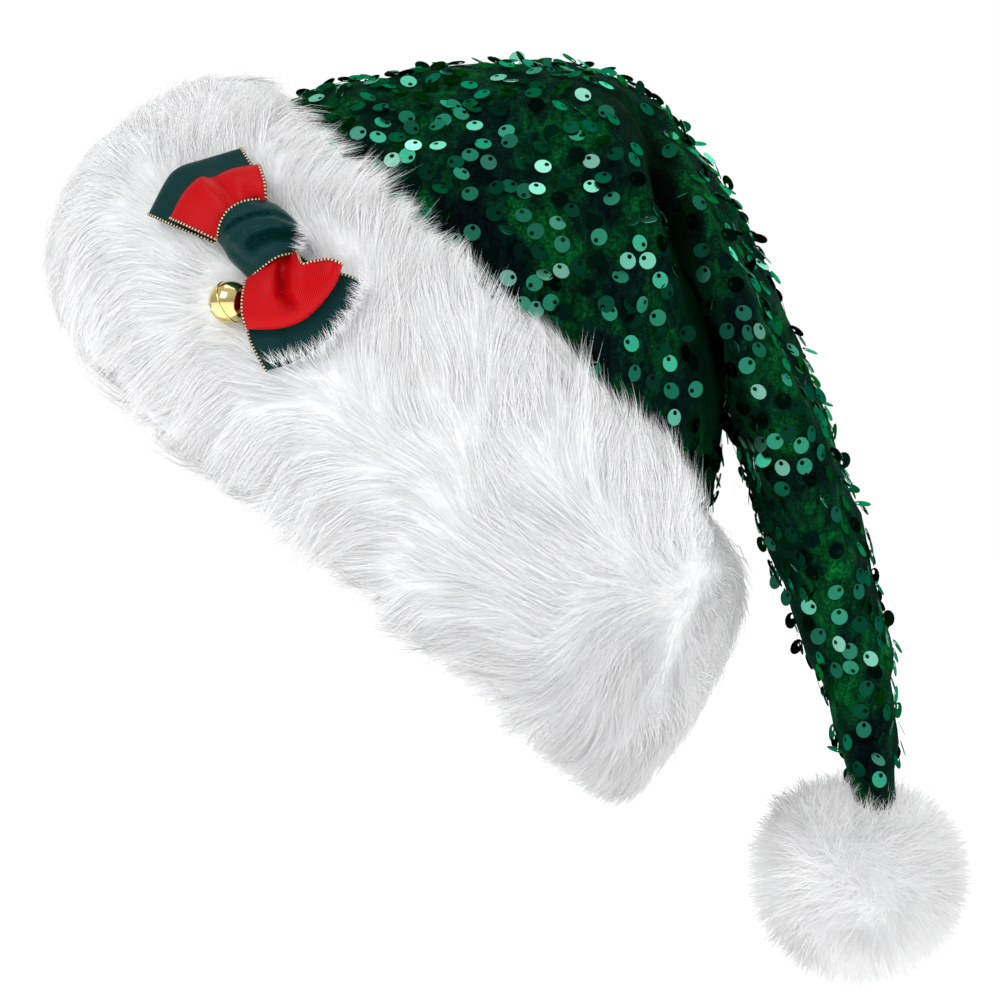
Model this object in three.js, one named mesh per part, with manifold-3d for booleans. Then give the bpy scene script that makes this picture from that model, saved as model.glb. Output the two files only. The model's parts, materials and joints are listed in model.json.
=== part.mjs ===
// A velvet Santa hat as it is worn: a deep faux-fur cuff tilted from brow to nape, a cone of
// velvet that covers the head, folds over behind it and hangs down as a tail with a pompom,
// and a bow of two ribbons with a jingle bell, sewn to the cuff.
// Millimetres, +Z up. The wearer faces -X and the bow is on the wearer's left side, at -Y.
// The origin is the middle of the head opening.
import * as THREE from "three";
import { mergeVertices } from "three/addons/utils/BufferGeometryUtils.js";
import Module from "manifold-3d";

const wasm = await Module();
wasm.setup();

// Head opening and crown
const headLength = 216; // long axis of the opening, from brow to nape
const headWidth = 158; // short axis of the opening, from ear to ear
const openingTilt = 40; // degrees that the opening slopes down towards the nape
const napeRise = 123; // from the nape up to the crease where the tail folds over
const tailDrop = 136; // from that crease down to the tail's tip
const tailSweep = 47; // how far back the tail's tip hangs from the crease

// Cloth
const velvetWall = 2;
const cuffWall = 3;
const clearance = 0.3; // between two pieces that are sewn together

// Fur
const pileDepth = 29; // from the cuff's cloth out to the tips of the fur
const furBodyShare = 0.74; // of the pile that is dense, under the loose locks
const lockLength = 40;
const lockWidth = 25;
const locksAround = 15;

// Pompom
const pompomWidth = 81;
const pompomHeight = 75;
const pompomLockCount = 27;
const tipSink = 17; // how deep the tail's tip is sewn into the pompom

// Bow
const ribbonThickness = 1;
const greenRibbonWidth = 40;
const redRibbonWidth = 34;
const greenReach = 43; // from the knot's middle to the end of a green loop
const redReach = 36;
const knotLength = 22; // along the bow
const knotWidth = 26; // across the bow
const knotWall = 1.2;
const knotBulge = 2;
const gatherDepth = 0.6; // of the pleats that the knot squeezes into the ribbons
const bowSag = 5; // how far the bow's ends bend back round the cuff
const bowSink = 7; // how deep the bow's back is pressed into the fur
const bowMargin = 1.5; // between the ribbons' edges and the fur
const bowRow = 3.2; // where the bow sits on the cuff, in rows of formSections
const bowAngle = 122.7; // degrees round the cuff from the nape
const bowLean = 46; // degrees that the bow's long axis falls, seen from the side

// Bell
const bellDiameter = 15;
const bellWall = 0.7;
const bellSlotWidth = 1.5;
const bellEyeDiameter = 4; // outside, of the wire eye on the bell's top
const bellWire = 0.9;
const bellSeamWidth = 0.8; // of the raised rim where the bell's halves join
const bellSeamLip = 0.25; // how far that rim stands out
const pelletDiameter = 4.5;
const ringDiameter = 5.5; // outside, of the jump ring that holds the bell to the knot
const bellHeight = 2.5; // how far the bell's middle lies above the bow's back

const facetCount = 26; // round the hat
const degrees = Math.PI / 180;

// The cone's sections, from the opening to the tail's tip. A section is an ellipse whose long
// axis runs back from its front point F to its back point B.
// out: B's distance back from the nape, as a share of headLength
// rise: B's height above the nape, as a share of napeRise
// sweep, drop: B's way on from the crease, as shares of tailSweep and tailDrop
// tilt: degrees that the long axis slopes down towards B
// long, wide: the ellipse's axes, as shares of headLength and headWidth
const formSections = [
  { out: 0.0, rise: 0.0, sweep: 0, drop: 0, tilt: openingTilt, long: 1.0, wide: 1.0 },
  { out: 0.063, rise: 0.21, sweep: 0, drop: 0, tilt: 36.4, long: 1.05, wide: 1.02 },
  { out: 0.115, rise: 0.4, sweep: 0, drop: 0, tilt: 35.2, long: 1.08, wide: 1.03 },
  { out: 0.157, rise: 0.575, sweep: 0, drop: 0, tilt: 36.5, long: 1.075, wide: 1.03 },
  { out: 0.177, rise: 0.662, sweep: 0, drop: 0, tilt: 40.3, long: 1.05, wide: 1.015 },
  { out: 0.187, rise: 0.749, sweep: 0, drop: 0, tilt: 44.3, long: 0.995, wide: 0.99 },
  { out: 0.197, rise: 0.822, sweep: 0, drop: 0, tilt: 48.2, long: 0.92, wide: 0.965 },
  { out: 0.205, rise: 0.895, sweep: 0, drop: 0, tilt: 52.8, long: 0.838, wide: 0.93 },
  { out: 0.21, rise: 0.948, sweep: 0, drop: 0, tilt: 58.5, long: 0.757, wide: 0.895 },
  { out: 0.212, rise: 0.98, sweep: 0, drop: 0, tilt: 65.2, long: 0.688, wide: 0.86 },
  { out: 0.2125, rise: 0.994, sweep: 0, drop: 0, tilt: 71.2, long: 0.64, wide: 0.83 },
  { out: 0.213, rise: 0.999, sweep: 0, drop: 0, tilt: 75.4, long: 0.604, wide: 0.805 },
  { out: 0.2145, rise: 1.0, sweep: 0.01, drop: 0, tilt: 79.9, long: 0.55, wide: 0.785 },
  { out: 0.2145, rise: 1.0, sweep: 0.02, drop: 0.005, tilt: 85.3, long: 0.47, wide: 0.76 },
  { out: 0.2145, rise: 1.0, sweep: 0.03, drop: 0.012, tilt: 93.4, long: 0.36, wide: 0.73 },
  { out: 0.2145, rise: 1.0, sweep: 0.05, drop: 0.024, tilt: 106.7, long: 0.256, wide: 0.69 },
  { out: 0.2145, rise: 1.0, sweep: 0.08, drop: 0.052, tilt: 128, long: 0.197, wide: 0.63 },
  { out: 0.2145, rise: 1.0, sweep: 0.14, drop: 0.12, tilt: 156.4, long: 0.173, wide: 0.55 },
  { out: 0.2145, rise: 1.0, sweep: 0.26, drop: 0.24, tilt: 176, long: 0.17, wide: 0.44 },
  { out: 0.2145, rise: 1.0, sweep: 0.435, drop: 0.405, tilt: 181, long: 0.158, wide: 0.34 },
  { out: 0.2145, rise: 1.0, sweep: 0.635, drop: 0.577, tilt: 182, long: 0.134, wide: 0.25 },
  { out: 0.2145, rise: 1.0, sweep: 0.83, drop: 0.743, tilt: 183, long: 0.103, wide: 0.175 },
  { out: 0.2145, rise: 1.0, sweep: 0.95, drop: 0.897, tilt: 182, long: 0.084, wide: 0.125 },
  { out: 0.2145, rise: 1.0, sweep: 1.0, drop: 1.0, tilt: 180, long: 0.07, wide: 0.1 },
];
const rimRow = 0;
const tuckRow = 4; // the velvet starts here, inside the cuff
const cuffTopRow = 5;
const tipRow = formSections.length - 1;
const velvetRows = [
  4, 5, 6.5, 8, 9, 10, 10.8, 11.3, 11.7, 12.2, 13, 14, 15, 16, 17, 18, 19, 19.5, 20, 21, 22, 23,
];

// Dents and folds of the velvet: a row's middle and reach along the cone, its middle and reach
// in degrees round the cone, and its depth as a share of headWidth.
// The first two are the deep crease on each side where the tail folds over.
const velvetFolds = [
  { row: 11.5, rowReach: 0.75, angle: 90, angleReach: 52, depth: 0.16 },
  { row: 11.5, rowReach: 0.75, angle: 270, angleReach: 52, depth: 0.14 },
  { row: 7.8, rowReach: 1.3, angle: 118, angleReach: 22, depth: 0.025 },
  { row: 6.8, rowReach: 1.4, angle: 238, angleReach: 24, depth: 0.03 },
  { row: 9.3, rowReach: 1.0, angle: 62, angleReach: 20, depth: 0.022 },
  { row: 15.2, rowReach: 2.4, angle: 148, angleReach: 15, depth: 0.045 },
  { row: 15.6, rowReach: 2.2, angle: 217, angleReach: 16, depth: 0.05 },
  { row: 16.8, rowReach: 1.7, angle: 22, angleReach: 18, depth: 0.03 },
  { row: 19.5, rowReach: 0.35, angle: 62, angleReach: 48, depth: 0.016 },
];

// The fur's section over the cuff. across: from 0 at the opening to 1 at the cuff's top edge.
// out: as a share of the pile's dense part.
const pileProfile = [
  { across: -0.03, out: 0.15 },
  { across: 0.0, out: 0.5 },
  { across: 0.12, out: 0.88 },
  { across: 0.34, out: 1.06 },
  { across: 0.62, out: 1.05 },
  { across: 0.84, out: 0.78 },
  { across: 0.99, out: 0.32 },
  { across: 1.06, out: 0.08 },
];
const lumpiness = 0.1; // how unevenly thick the dense fur is, as a share of its thickness
// The fur's thickness round the cuff: fuller at the brow, flatter at the nape.
const browFullness = 1.2;
const napeFullness = 0.86;
const browShortness = 0.4; // how much shorter the locks are at the brow
// Rows of locks on the fur. lean: how far a lock lies along the cuff towards its nearer edge,
// front: how far it is combed towards the brow, long: its length as a share of lockLength.
const lockRows = [
  { across: 0.08, lean: -1.0, front: 0.5, long: 0.8 },
  { across: 0.3, lean: -0.75, front: 0.6, long: 1.0 },
  { across: 0.52, lean: -0.2, front: 0.8, long: 1.05 },
  { across: 0.74, lean: 0.55, front: 0.4, long: 1.0 },
  { across: 0.94, lean: 1.0, front: 0.0, long: 0.8 },
];

const lerp = THREE.MathUtils.lerp;
const clamp = THREE.MathUtils.clamp;
const vec = (x, y, z) => new THREE.Vector3(x, y, z);

// A repeatable number from 0 to 1 for a pair of whole numbers.
function scatter(i, j) {
  const wave = Math.sin(i * 12.9898 + j * 78.233) * 43758.5453;
  return wave - Math.floor(wave);
}

// One column of a table at a place between its rows, on a smooth curve through them.
function column(table, name, place) {
  const last = table.length - 1;
  const i = clamp(Math.floor(place), 0, last - 1);
  const value = (k) => table[clamp(k, 0, last)][name];
  const f = place - i;
  if (f < 0 || f > 1) return lerp(value(i), value(i + 1), f);
  const before = i > 0 ? value(i - 1) : 2 * value(i) - value(i + 1);
  const after = i + 2 <= last ? value(i + 2) : 2 * value(i + 1) - value(i);
  const slopeA = (value(i + 1) - before) / 2;
  const slopeB = (after - value(i)) / 2;
  const g = 1 - f;
  return (
    value(i) * g * g * (1 + 2 * f) +
    value(i + 1) * f * f * (3 - 2 * f) +
    slopeA * f * g * g -
    slopeB * f * f * g
  );
}

// How strongly a fold acts at a place, from 0 to 1.
function foldStrength(fold, row, angle) {
  const along = (row - fold.row) / fold.rowReach;
  const turned = ((angle - fold.angle + 540) % 360) - 180;
  return Math.exp(-along * along - (turned / fold.angleReach) ** 2);
}

// A point of the cone before its folds. angle runs from 0 at B over the wearer's left side
// to 180 at F.
function conePoint(row, angle) {
  const at = (name) => column(formSections, name, row);
  const slope = at("tilt") * degrees;
  const back = vec(Math.cos(slope), 0, -Math.sin(slope));
  const napeX = (headLength / 2) * Math.cos(openingTilt * degrees);
  const napeZ = (-headLength / 2) * Math.sin(openingTilt * degrees);
  const halfLong = (at("long") * headLength) / 2;
  const halfWide = (at("wide") * headWidth) / 2;
  const x = napeX + at("out") * headLength + at("sweep") * tailSweep;
  const z = napeZ + at("rise") * napeRise - at("drop") * tailDrop;
  return vec(x, -halfWide * Math.sin(angle * degrees), z).addScaledVector(
    back,
    halfLong * (Math.cos(angle * degrees) - 1),
  );
}

// Directions on a surface that is given as a function of row and angle: towards the crown,
// round the cone, and outwards.
function directions(surface, row, angle) {
  const rowStep = 0.02;
  const angleStep = 1;
  const up = surface(row + rowStep, angle).sub(surface(row - rowStep, angle)).normalize();
  const round = surface(row, angle + angleStep).sub(surface(row, angle - angleStep)).normalize();
  const outward = new THREE.Vector3().crossVectors(round, up).normalize().negate();
  return { up, round, outward };
}

// A point of the folded velvet's outer face.
function velvetPoint(row, angle) {
  const point = conePoint(row, angle);
  let depth = 0;
  for (const fold of velvetFolds) {
    depth += fold.depth * headWidth * foldStrength(fold, row, angle);
  }
  const { outward } = directions(conePoint, row, angle);
  return point.addScaledVector(outward, -depth);
}

function ring(surface, row, offset) {
  return Array.from({ length: facetCount }, (_, i) => {
    const angle = (i * 360) / facetCount;
    const { outward } = directions(surface, row, angle);
    return surface(row, angle).addScaledVector(outward, offset);
  });
}

// A closed geometry through rings of equal point counts. With loop, the last ring joins the
// first, and otherwise both ends are closed to their middles. Its faces are made to point out.
function throughRings(rings, loop = false) {
  const count = rings[0].length;
  const points = rings.flat();
  const faces = [];
  const bands = loop ? rings.length : rings.length - 1;
  for (let r = 0; r < bands; r++) {
    const a = r * count;
    const b = ((r + 1) % rings.length) * count;
    for (let i = 0; i < count; i++) {
      const j = (i + 1) % count;
      faces.push([a + i, a + j, b + i], [a + j, b + j, b + i]);
    }
  }
  if (!loop) {
    for (const [start, flip] of [[0, true], [(rings.length - 1) * count, false]]) {
      const middle = vec(0, 0, 0);
      for (let i = 0; i < count; i++) middle.addScaledVector(points[start + i], 1 / count);
      const centre = points.push(middle) - 1;
      for (let i = 0; i < count; i++) {
        const j = (i + 1) % count;
        faces.push(flip ? [centre, start + j, start + i] : [centre, start + i, start + j]);
      }
    }
  }
  let volume = 0;
  for (const [a, b, c] of faces) {
    volume += points[a].dot(new THREE.Vector3().crossVectors(points[b], points[c]));
  }
  const ordered = volume < 0 ? faces.map(([a, b, c]) => [a, c, b]) : faces;
  const geometry = new THREE.BufferGeometry().setFromPoints(points);
  geometry.setIndex(ordered.flat());
  return geometry;
}

// Any three.js geometry as a manifold-3d solid, and back.
function solid(geometry) {
  const bare = new THREE.BufferGeometry();
  bare.setAttribute("position", geometry.getAttribute("position"));
  if (geometry.index) bare.setIndex(geometry.index);
  const merged = mergeVertices(bare, 1e-3);
  return new wasm.Manifold(
    new wasm.Mesh({
      numProp: 3,
      vertProperties: new Float32Array(merged.getAttribute("position").array),
      triVerts: new Uint32Array(merged.index.array),
    }),
  );
}

function geometryOf(made) {
  const mesh = made.getMesh();
  const positions = new Float32Array(mesh.numVert * 3);
  for (let i = 0; i < mesh.numVert; i++) {
    const start = i * mesh.numProp;
    positions.set(mesh.vertProperties.subarray(start, start + 3), i * 3);
  }
  const geometry = new THREE.BufferGeometry();
  geometry.setAttribute("position", new THREE.BufferAttribute(positions, 3));
  geometry.setIndex(new THREE.BufferAttribute(new Uint32Array(mesh.triVerts), 1));
  return geometry;
}

// A lock of fur: a flat tapering horn that starts below the surface and bends as it grows.
// start and finish are the directions at its root and tip, side is across its width.
function lock(root, start, finish, side, length, width) {
  const flatness = 0.4;
  const taper = [
    { along: 0, girth: 0.9 },
    { along: 0.5, girth: 1 },
    { along: 1, girth: 0.06 },
  ];
  const rings = taper.map(({ along, girth }) => {
    const middle = root
      .clone()
      .addScaledVector(start, length * (along - (along * along) / 2))
      .addScaledVector(finish, (length * along * along) / 2);
    const heading = start.clone().lerp(finish, along).normalize();
    const across = side.clone().addScaledVector(heading, -side.dot(heading)).normalize();
    const over = new THREE.Vector3().crossVectors(heading, across);
    const half = (width / 2) * girth;
    return [
      middle.clone().addScaledVector(across, half),
      middle.clone().addScaledVector(over, half * flatness),
      middle.clone().addScaledVector(across, -half),
    ];
  });
  return solid(throughRings(rings));
}

// Velvet cone: a thin wall, open at the cuff and closed at the tip.
function crownGeometry() {
  const outer = velvetRows.map((row) => ring(velvetPoint, row, 0));
  const inner = velvetRows.map((row) => ring(velvetPoint, row, -velvetWall));
  const tail = inner.length - 1;
  const end = outer[tail].reduce((sum, p) => sum.addScaledVector(p, 1 / facetCount), vec(0, 0, 0));
  const before = inner[tail - 1].reduce((sum, p) => sum.addScaledVector(p, 1 / facetCount), vec(0, 0, 0));
  const inward = before.sub(end).normalize().multiplyScalar(velvetWall);
  for (const p of inner[tail]) p.add(inward);
  return throughRings([...inner.reverse(), ...outer]);
}

// Cuff: the cloth band under the fur, which the head fills.
const cuffOuter = clearance + cuffWall;
function cuffGeometry() {
  const rows = [rimRow, 1, 2, 3, tuckRow, cuffTopRow];
  const inner = rows.map((row) => ring(conePoint, row, clearance));
  const outer = rows.map((row) => ring(conePoint, row, cuffOuter));
  return throughRings([...inner, ...outer.reverse()], true);
}

// The fur's dense body: a point over the cuff at a share across it and an angle round it.
const furInner = cuffOuter + clearance;
const furOverCuff = cuffTopRow + 0.06; // the row where the fur closes over the cuff's edge
function fullness(angle) {
  const brow = (1 - Math.cos(angle * degrees)) / 2;
  return lerp(napeFullness, browFullness, brow);
}
function furPoint(across, angle, out) {
  const row = across * cuffTopRow;
  const { outward } = directions(conePoint, row, angle);
  const depth = furInner + out * pileDepth * furBodyShare * fullness(angle);
  return conePoint(row, angle).addScaledVector(outward, depth);
}
function furThickness(across) {
  const i = pileProfile.findIndex((p) => p.across >= across);
  if (i <= 0) return pileProfile[0].out;
  const [a, b] = [pileProfile[i - 1], pileProfile[i]];
  return lerp(a.out, b.out, (across - a.across) / (b.across - a.across));
}

function furRing(across, out, row) {
  return Array.from({ length: facetCount }, (_, i) => {
    const lump = 1 + lumpiness * (scatter(i, row) - 0.5);
    return furPoint(across, (i * 360) / facetCount, out * lump);
  });
}

// Where no fur may reach: the head's space, the cuff and the velvet, with a clearance.
function furKeepOut() {
  const below = -1.5;
  const band = [below, rimRow, 1, 2, 3, tuckRow, cuffTopRow, furOverCuff];
  const head = band.map((row) => ring(conePoint, row, furInner));
  head.push(ring(conePoint, furOverCuff, 0));
  const velvet = velvetRows.slice(1).map((row) => ring(velvetPoint, row, 2 * clearance));
  // Neighbouring walls run through the same rings in the same order, so their facets match.
  return solid(throughRings(head.reverse())).add(solid(throughRings(velvet)));
}

// Where the bow sits on the cuff: x along the bow, y across it, z outwards.
function bowFrame() {
  const across = bowRow / cuffTopRow;
  const surface = (row, angle) => furPoint(row / cuffTopRow, angle, 1);
  const { outward } = directions(surface, bowRow, bowAngle);
  const lean = bowLean * degrees;
  const along = vec(Math.cos(lean), 0, -Math.sin(lean));
  along.addScaledVector(outward, -along.dot(outward)).normalize();
  const side = new THREE.Vector3().crossVectors(outward, along);
  const place = furPoint(across, bowAngle, furThickness(across));
  place.addScaledVector(outward, -bowSink);
  return new THREE.Matrix4().makeBasis(along, side, outward).setPosition(place);
}
const bowPlace = bowFrame();

// The bow's loops: how a ribbon runs from the knot to its ends.
// low and high are the corners of an end on either side of the bow's middle line. end is their
// distance from the knot's middle, as a share of the reach. side is as a share of the width.
// middle: how far the end reaches between its corners, as a share of the reach
// puff: the loop's height between its two layers, as a share of the reach
// pinch: how deep a crease runs into the loop's front from the knot, as a share of the puff
const greenLoops = {
  left: {
    low: { end: 0.82, side: -0.6 },
    high: { end: 0.68, side: 0.42 },
    middle: 0.9,
    puff: 0.116,
    pinch: 0.1,
  },
  right: {
    low: { end: 0.88, side: -0.7 },
    high: { end: 0.86, side: 0.4 },
    middle: 1.02,
    puff: 0.116,
    pinch: 0.1,
  },
};
const redLoops = {
  left: {
    low: { end: 0.68, side: -0.56 },
    high: { end: 0.53, side: 0.43 },
    middle: 0.77,
    puff: 0.194,
    pinch: 0.3,
  },
  right: {
    low: { end: 0.72, side: -0.72 },
    high: { end: 0.84, side: 0.42 },
    middle: 1.0,
    puff: 0.333,
    pinch: 0.75,
  },
};

// Half the width of the ribbons where the knot squeezes them.
const squeezed = 0.7 * (knotWidth / 2 - knotWall);
// Height of one ribbon layer with its gap.
const layer = ribbonThickness + 2 * clearance;
const greenBase = knotWall + 3 * clearance + gatherDepth + ribbonThickness / 2;

const ribbonOvers = [-1, -0.6, -0.2, 0.2, 0.6, 1]; // places across a ribbon
// The part of a ribbon's way to its end that lies inside the knot.
const heldShare = 0.3;
const heldLength = knotLength / 2 + clearance;

// A point of a ribbon in the bow's frame. reached: -1 at the left end to 1 at the right end,
// over: -1 to 1 across the ribbon.
function ribbonPlace(loops, reach, width, reached, over) {
  const loop = reached < 0 ? loops.left : loops.right;
  const share = Math.abs(reached);
  const mix = (over + 1) / 2;
  const arch = 1 - over * over;
  const endX = reach * (lerp(loop.low.end, loop.high.end, mix) * (1 - arch) + loop.middle * arch);
  const endY = width * lerp(loop.low.side, loop.high.side, mix);
  const fan = clamp((share - heldShare) / (1 - heldShare), 0, 1);
  const x = lerp(Math.min(share / heldShare, 1) * heldLength, endX, fan);
  return { x: Math.sign(reached) * x, y: lerp(over * squeezed, endY, fan ** 0.8) };
}

// Pleats beside the knot, shared by all layers so that they nest.
function gather(x, y) {
  const fade = Math.exp(-((x / (knotLength * 0.75)) ** 2));
  return gatherDepth * fade * Math.sin((y / squeezed) * 2.5 * Math.PI);
}
function sag(x) {
  return -bowSag * (x / greenReach) ** 2;
}

// How far a loop has opened at a distance from the knot, from 0 to 1.
function opened(x, reach) {
  const share = clamp((Math.abs(x) - heldLength) / (reach - heldLength), 0, 1);
  return Math.sin(Math.min(share * 1.5, 1) * 0.5 * Math.PI);
}

// Heights over the bow's back of a ribbon's two layers.
function greenHeights(x) {
  const { puff } = x < 0 ? greenLoops.left : greenLoops.right;
  const rise = puff * greenReach - layer;
  return { low: greenBase, high: greenBase + layer + rise * opened(x, greenReach) };
}
function redHeights(x) {
  const { puff } = x < 0 ? redLoops.left : redLoops.right;
  const low = greenHeights(x).high + layer + 2 * clearance;
  const rise = puff * redReach - layer;
  return { low, high: low + layer + rise * opened(x, redReach) };
}

// A ribbon folded into two loops, as a closed band: along the back to one end, over, along
// the front to the other end, and back.
function ribbonGeometry(loops, reach, width, heights) {
  const shares = [heldShare, 0.42, 0.58, 0.78, 0.92, 0.98]; // closer where it turns over
  const foldStart = 0.8; // where a layer starts to turn over at the end
  const toEnd = [...shares.map((share) => -share).reverse(), ...shares];
  const stations = [
    { reached: -1, front: false },
    ...toEnd.map((reached) => ({ reached, front: false })),
    { reached: 1, front: true },
    ...toEnd.map((reached) => ({ reached: -reached, front: true })),
  ];
  const place = ({ reached, front }, over) => {
    const { x, y } = ribbonPlace(loops, reach, width, reached, over);
    const { low, high } = heights(x);
    const { pinch } = reached < 0 ? loops.left : loops.right;
    const share = Math.abs(reached);
    const turn = clamp((share - foldStart) / (1 - foldStart), 0, 1);
    const half = ((high - low) / 2) * Math.sqrt(1 - turn * turn);
    const crease = pinch * Math.exp(-((over / 0.3) ** 2)) * (1 - share ** 3);
    const fall = front ? crease * Math.max(high - low - layer, 0) : 0;
    const z = (low + high) / 2 + (front ? half : -half) - fall;
    return vec(x, y, z + gather(x, y) + sag(x));
  };
  const middles = stations.map((s) => ribbonOvers.map((over) => place(s, over)));
  const count = stations.length;
  const rings = middles.map((points, s) => {
    const next = middles[(s + 1) % count];
    const last = middles[(s + count - 1) % count];
    const normals = points.map((p, k) => {
      const along = next[k].clone().sub(last[k]);
      const beyond = points[Math.min(k + 1, points.length - 1)];
      const over = beyond.clone().sub(points[Math.max(k - 1, 0)]);
      return new THREE.Vector3().crossVectors(along, over).normalize();
    });
    const face = (offset) =>
      points.map((p, k) => p.clone().addScaledVector(normals[k], offset));
    return [...face(ribbonThickness / 2), ...face(-ribbonThickness / 2).reverse()];
  });
  return throughRings(rings, true);
}

// The knot: a ribbon wrapped round the middle of both, fuller in the middle of its length.
const knotInnerHeight = redHeights(0).high + ribbonThickness / 2 + gatherDepth + 3 * clearance;
function knotGeometry() {
  const turns = 18;
  const stations = [-1, -0.55, 0, 0.55, 1];
  const shell = (offset) =>
    stations.map((s) => {
      const bulge = knotBulge * (1 - s * s);
      const low = knotWall;
      return Array.from({ length: turns }, (_, i) => {
        const angle = (i / turns) * 2 * Math.PI;
        const round = (value) => Math.sign(value) * Math.abs(value) ** 0.6;
        const y = (knotWidth / 2 - knotWall + offset + bulge * 0.6) * round(Math.cos(angle));
        const middle = (low + knotInnerHeight) / 2;
        const half = (knotInnerHeight - low) / 2 + offset;
        const above = Math.sin(angle) > 0 ? bulge : 0;
        const z = middle + (half + above) * round(Math.sin(angle));
        return vec((s * knotLength) / 2, y, z + sag((s * knotLength) / 2));
      });
    });
  return throughRings([...shell(0), ...shell(knotWall).reverse()], true);
}

const beyondFur = 2 * pileDepth; // how far out the hollows in the fur are cut

// The hollow that the bow presses into the fur: as wide as the green ribbon and the knot,
// and open outwards.
function bowNest() {
  const greenEnd = greenReach + bowMargin;
  const right = [heldShare, 0.42, 0.56, 0.7, 0.84, 1];
  const shares = [...right.map((share) => -share).reverse(), ...right];
  const rings = shares.map((share) => {
    const floor = ribbonOvers.map((over) => {
      const { x, y } = ribbonPlace(greenLoops, greenEnd, greenRibbonWidth, share, over);
      return vec(x, y + over * bowMargin, knotWall + sag(x));
    });
    return [...floor, ...floor.map(({ x, y }) => vec(x, y, beyondFur)).reverse()];
  });
  const room = 2 * (clearance + knotBulge);
  const knot = new THREE.BoxGeometry(knotLength + 2 * clearance, knotWidth + room, beyondFur);
  knot.translate(0, 0, beyondFur / 2 - clearance + sag(knotLength / 2));
  return solid(throughRings(rings)).add(solid(knot));
}

// The bell's own axis runs from its eye to its slot. It lies beside the knot, on the fur.
const bellRadius = bellDiameter / 2;
const bellAxis = vec(-0.45, -0.86, -0.25).normalize();
const bellCentre = vec(0.35 * knotLength, -knotWidth / 2 - 1.45 * bellRadius, bellHeight);
const eyeCentreHeight = bellRadius + bellEyeDiameter / 2 - bellWire;
// The jump ring runs through the middle of the eye.
const ringReach = ringDiameter / 2 - bellWire / 2;
const ringCentre = bellCentre.clone().addScaledVector(bellAxis, -eyeCentreHeight - ringReach);

function bellNest() {
  const made = [];
  for (const [centre, radius] of [[bellCentre, bellRadius], [ringCentre, ringDiameter / 2]]) {
    const room = radius + 3 * clearance;
    const shaft = new THREE.CylinderGeometry(room, room, beyondFur, 16).rotateX(Math.PI / 2);
    shaft.translate(centre.x, centre.y, centre.z + beyondFur / 2);
    const ball = new THREE.SphereGeometry(room, 16, 10).rotateX(Math.PI / 2);
    ball.translate(centre.x, centre.y, centre.z);
    made.push(solid(shaft), solid(ball));
  }
  return wasm.Manifold.union(made);
}

// Jingle bell: a hollow ball of thin metal with a long slot below and a wire eye on top.
// It is made with its axis along Z, eye up.
function bellGeometry() {
  const around = 14;
  const ball = solid(new THREE.SphereGeometry(bellRadius, around, 8).rotateX(Math.PI / 2));
  const hollow = solid(
    new THREE.SphereGeometry(bellRadius - bellWall, around, 8).rotateX(Math.PI / 2),
  );
  const slotHeight = bellRadius * 0.9; // from the bottom of the ball
  const slot = new THREE.BoxGeometry(bellDiameter * 2, bellSlotWidth, slotHeight * 2);
  slot.translate(0, 0, -bellRadius);
  const rim = bellRadius + bellSeamLip;
  const seam = solid(
    new THREE.CylinderGeometry(rim, rim, bellSeamWidth, around).rotateX(Math.PI / 2),
  );
  const eye = solid(
    new THREE.TorusGeometry(bellEyeDiameter / 2 - bellWire / 2, bellWire / 2, 4, 10)
      .rotateX(Math.PI / 2)
      .translate(0, 0, bellRadius + bellEyeDiameter / 2 - bellWire),
  );
  const made = ball
    .add(seam)
    .subtract(hollow)
    .subtract(solid(slot))
    .add(eye.subtract(hollow));
  return geometryOf(made);
}

// Fur: the dense body with its locks, cut away where the hat, the bow and the bell are.
function cuffFurGeometry() {
  const outer = pileProfile.map((p, i) => furRing(p.across, p.out, i));
  const inner = [tuckRow, 3, 2, 1, rimRow].map((row) => ring(conePoint, row, furInner - clearance));
  const top = pileProfile[pileProfile.length - 1].across * cuffTopRow;
  const closing = [top, furOverCuff].map((row) => ring(conePoint, row, clearance));
  const body = solid(throughRings([...outer, ...closing, ...inner], true));
  const locks = [];
  lockRows.forEach((row, r) => {
    for (let i = 0; i < locksAround; i++) {
      const angle = ((i + (r % 2) / 2 + 0.35 * scatter(i, r)) * 360) / locksAround;
      const out = furThickness(row.across);
      const surface = (place, turn) => furPoint(place / cuffTopRow, turn, out);
      const { up, round, outward } = directions(surface, row.across * cuffTopRow, angle);
      const front = row.front * Math.sin(angle * degrees) + 0.3 * (scatter(i, r + 9) - 0.5);
      const flow = up.clone().multiplyScalar(row.lean).addScaledVector(round, front);
      flow.normalize();
      const start = flow.clone().addScaledVector(outward, 0.5).normalize();
      const finish = flow.clone().addScaledVector(outward, -0.15).normalize();
      const side = new THREE.Vector3().crossVectors(flow, outward).normalize();
      const brow = ((1 - Math.cos(angle * degrees)) / 2) ** 2;
      const uneven = 0.85 + 0.3 * scatter(i + 3, r);
      const length = lockLength * row.long * uneven * (1 - browShortness * brow);
      const root = furPoint(row.across, angle, out).addScaledVector(start, -0.3 * length);
      locks.push(lock(root, start, finish, side, length, lockWidth));
    }
  });
  const bowHollow = bowNest().transform(bowPlace.elements);
  const bellHollow = bellNest().transform(bowPlace.elements);
  const grown = wasm.Manifold.union([body, ...locks]);
  const cut = grown.subtract(furKeepOut()).subtract(bowHollow).subtract(bellHollow);
  return geometryOf(largest(cut));
}

// The biggest body of a solid, without crumbs that a cut has left.
function largest(made) {
  return made.decompose().reduce((a, b) => (a.volume() > b.volume() ? a : b));
}

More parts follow.
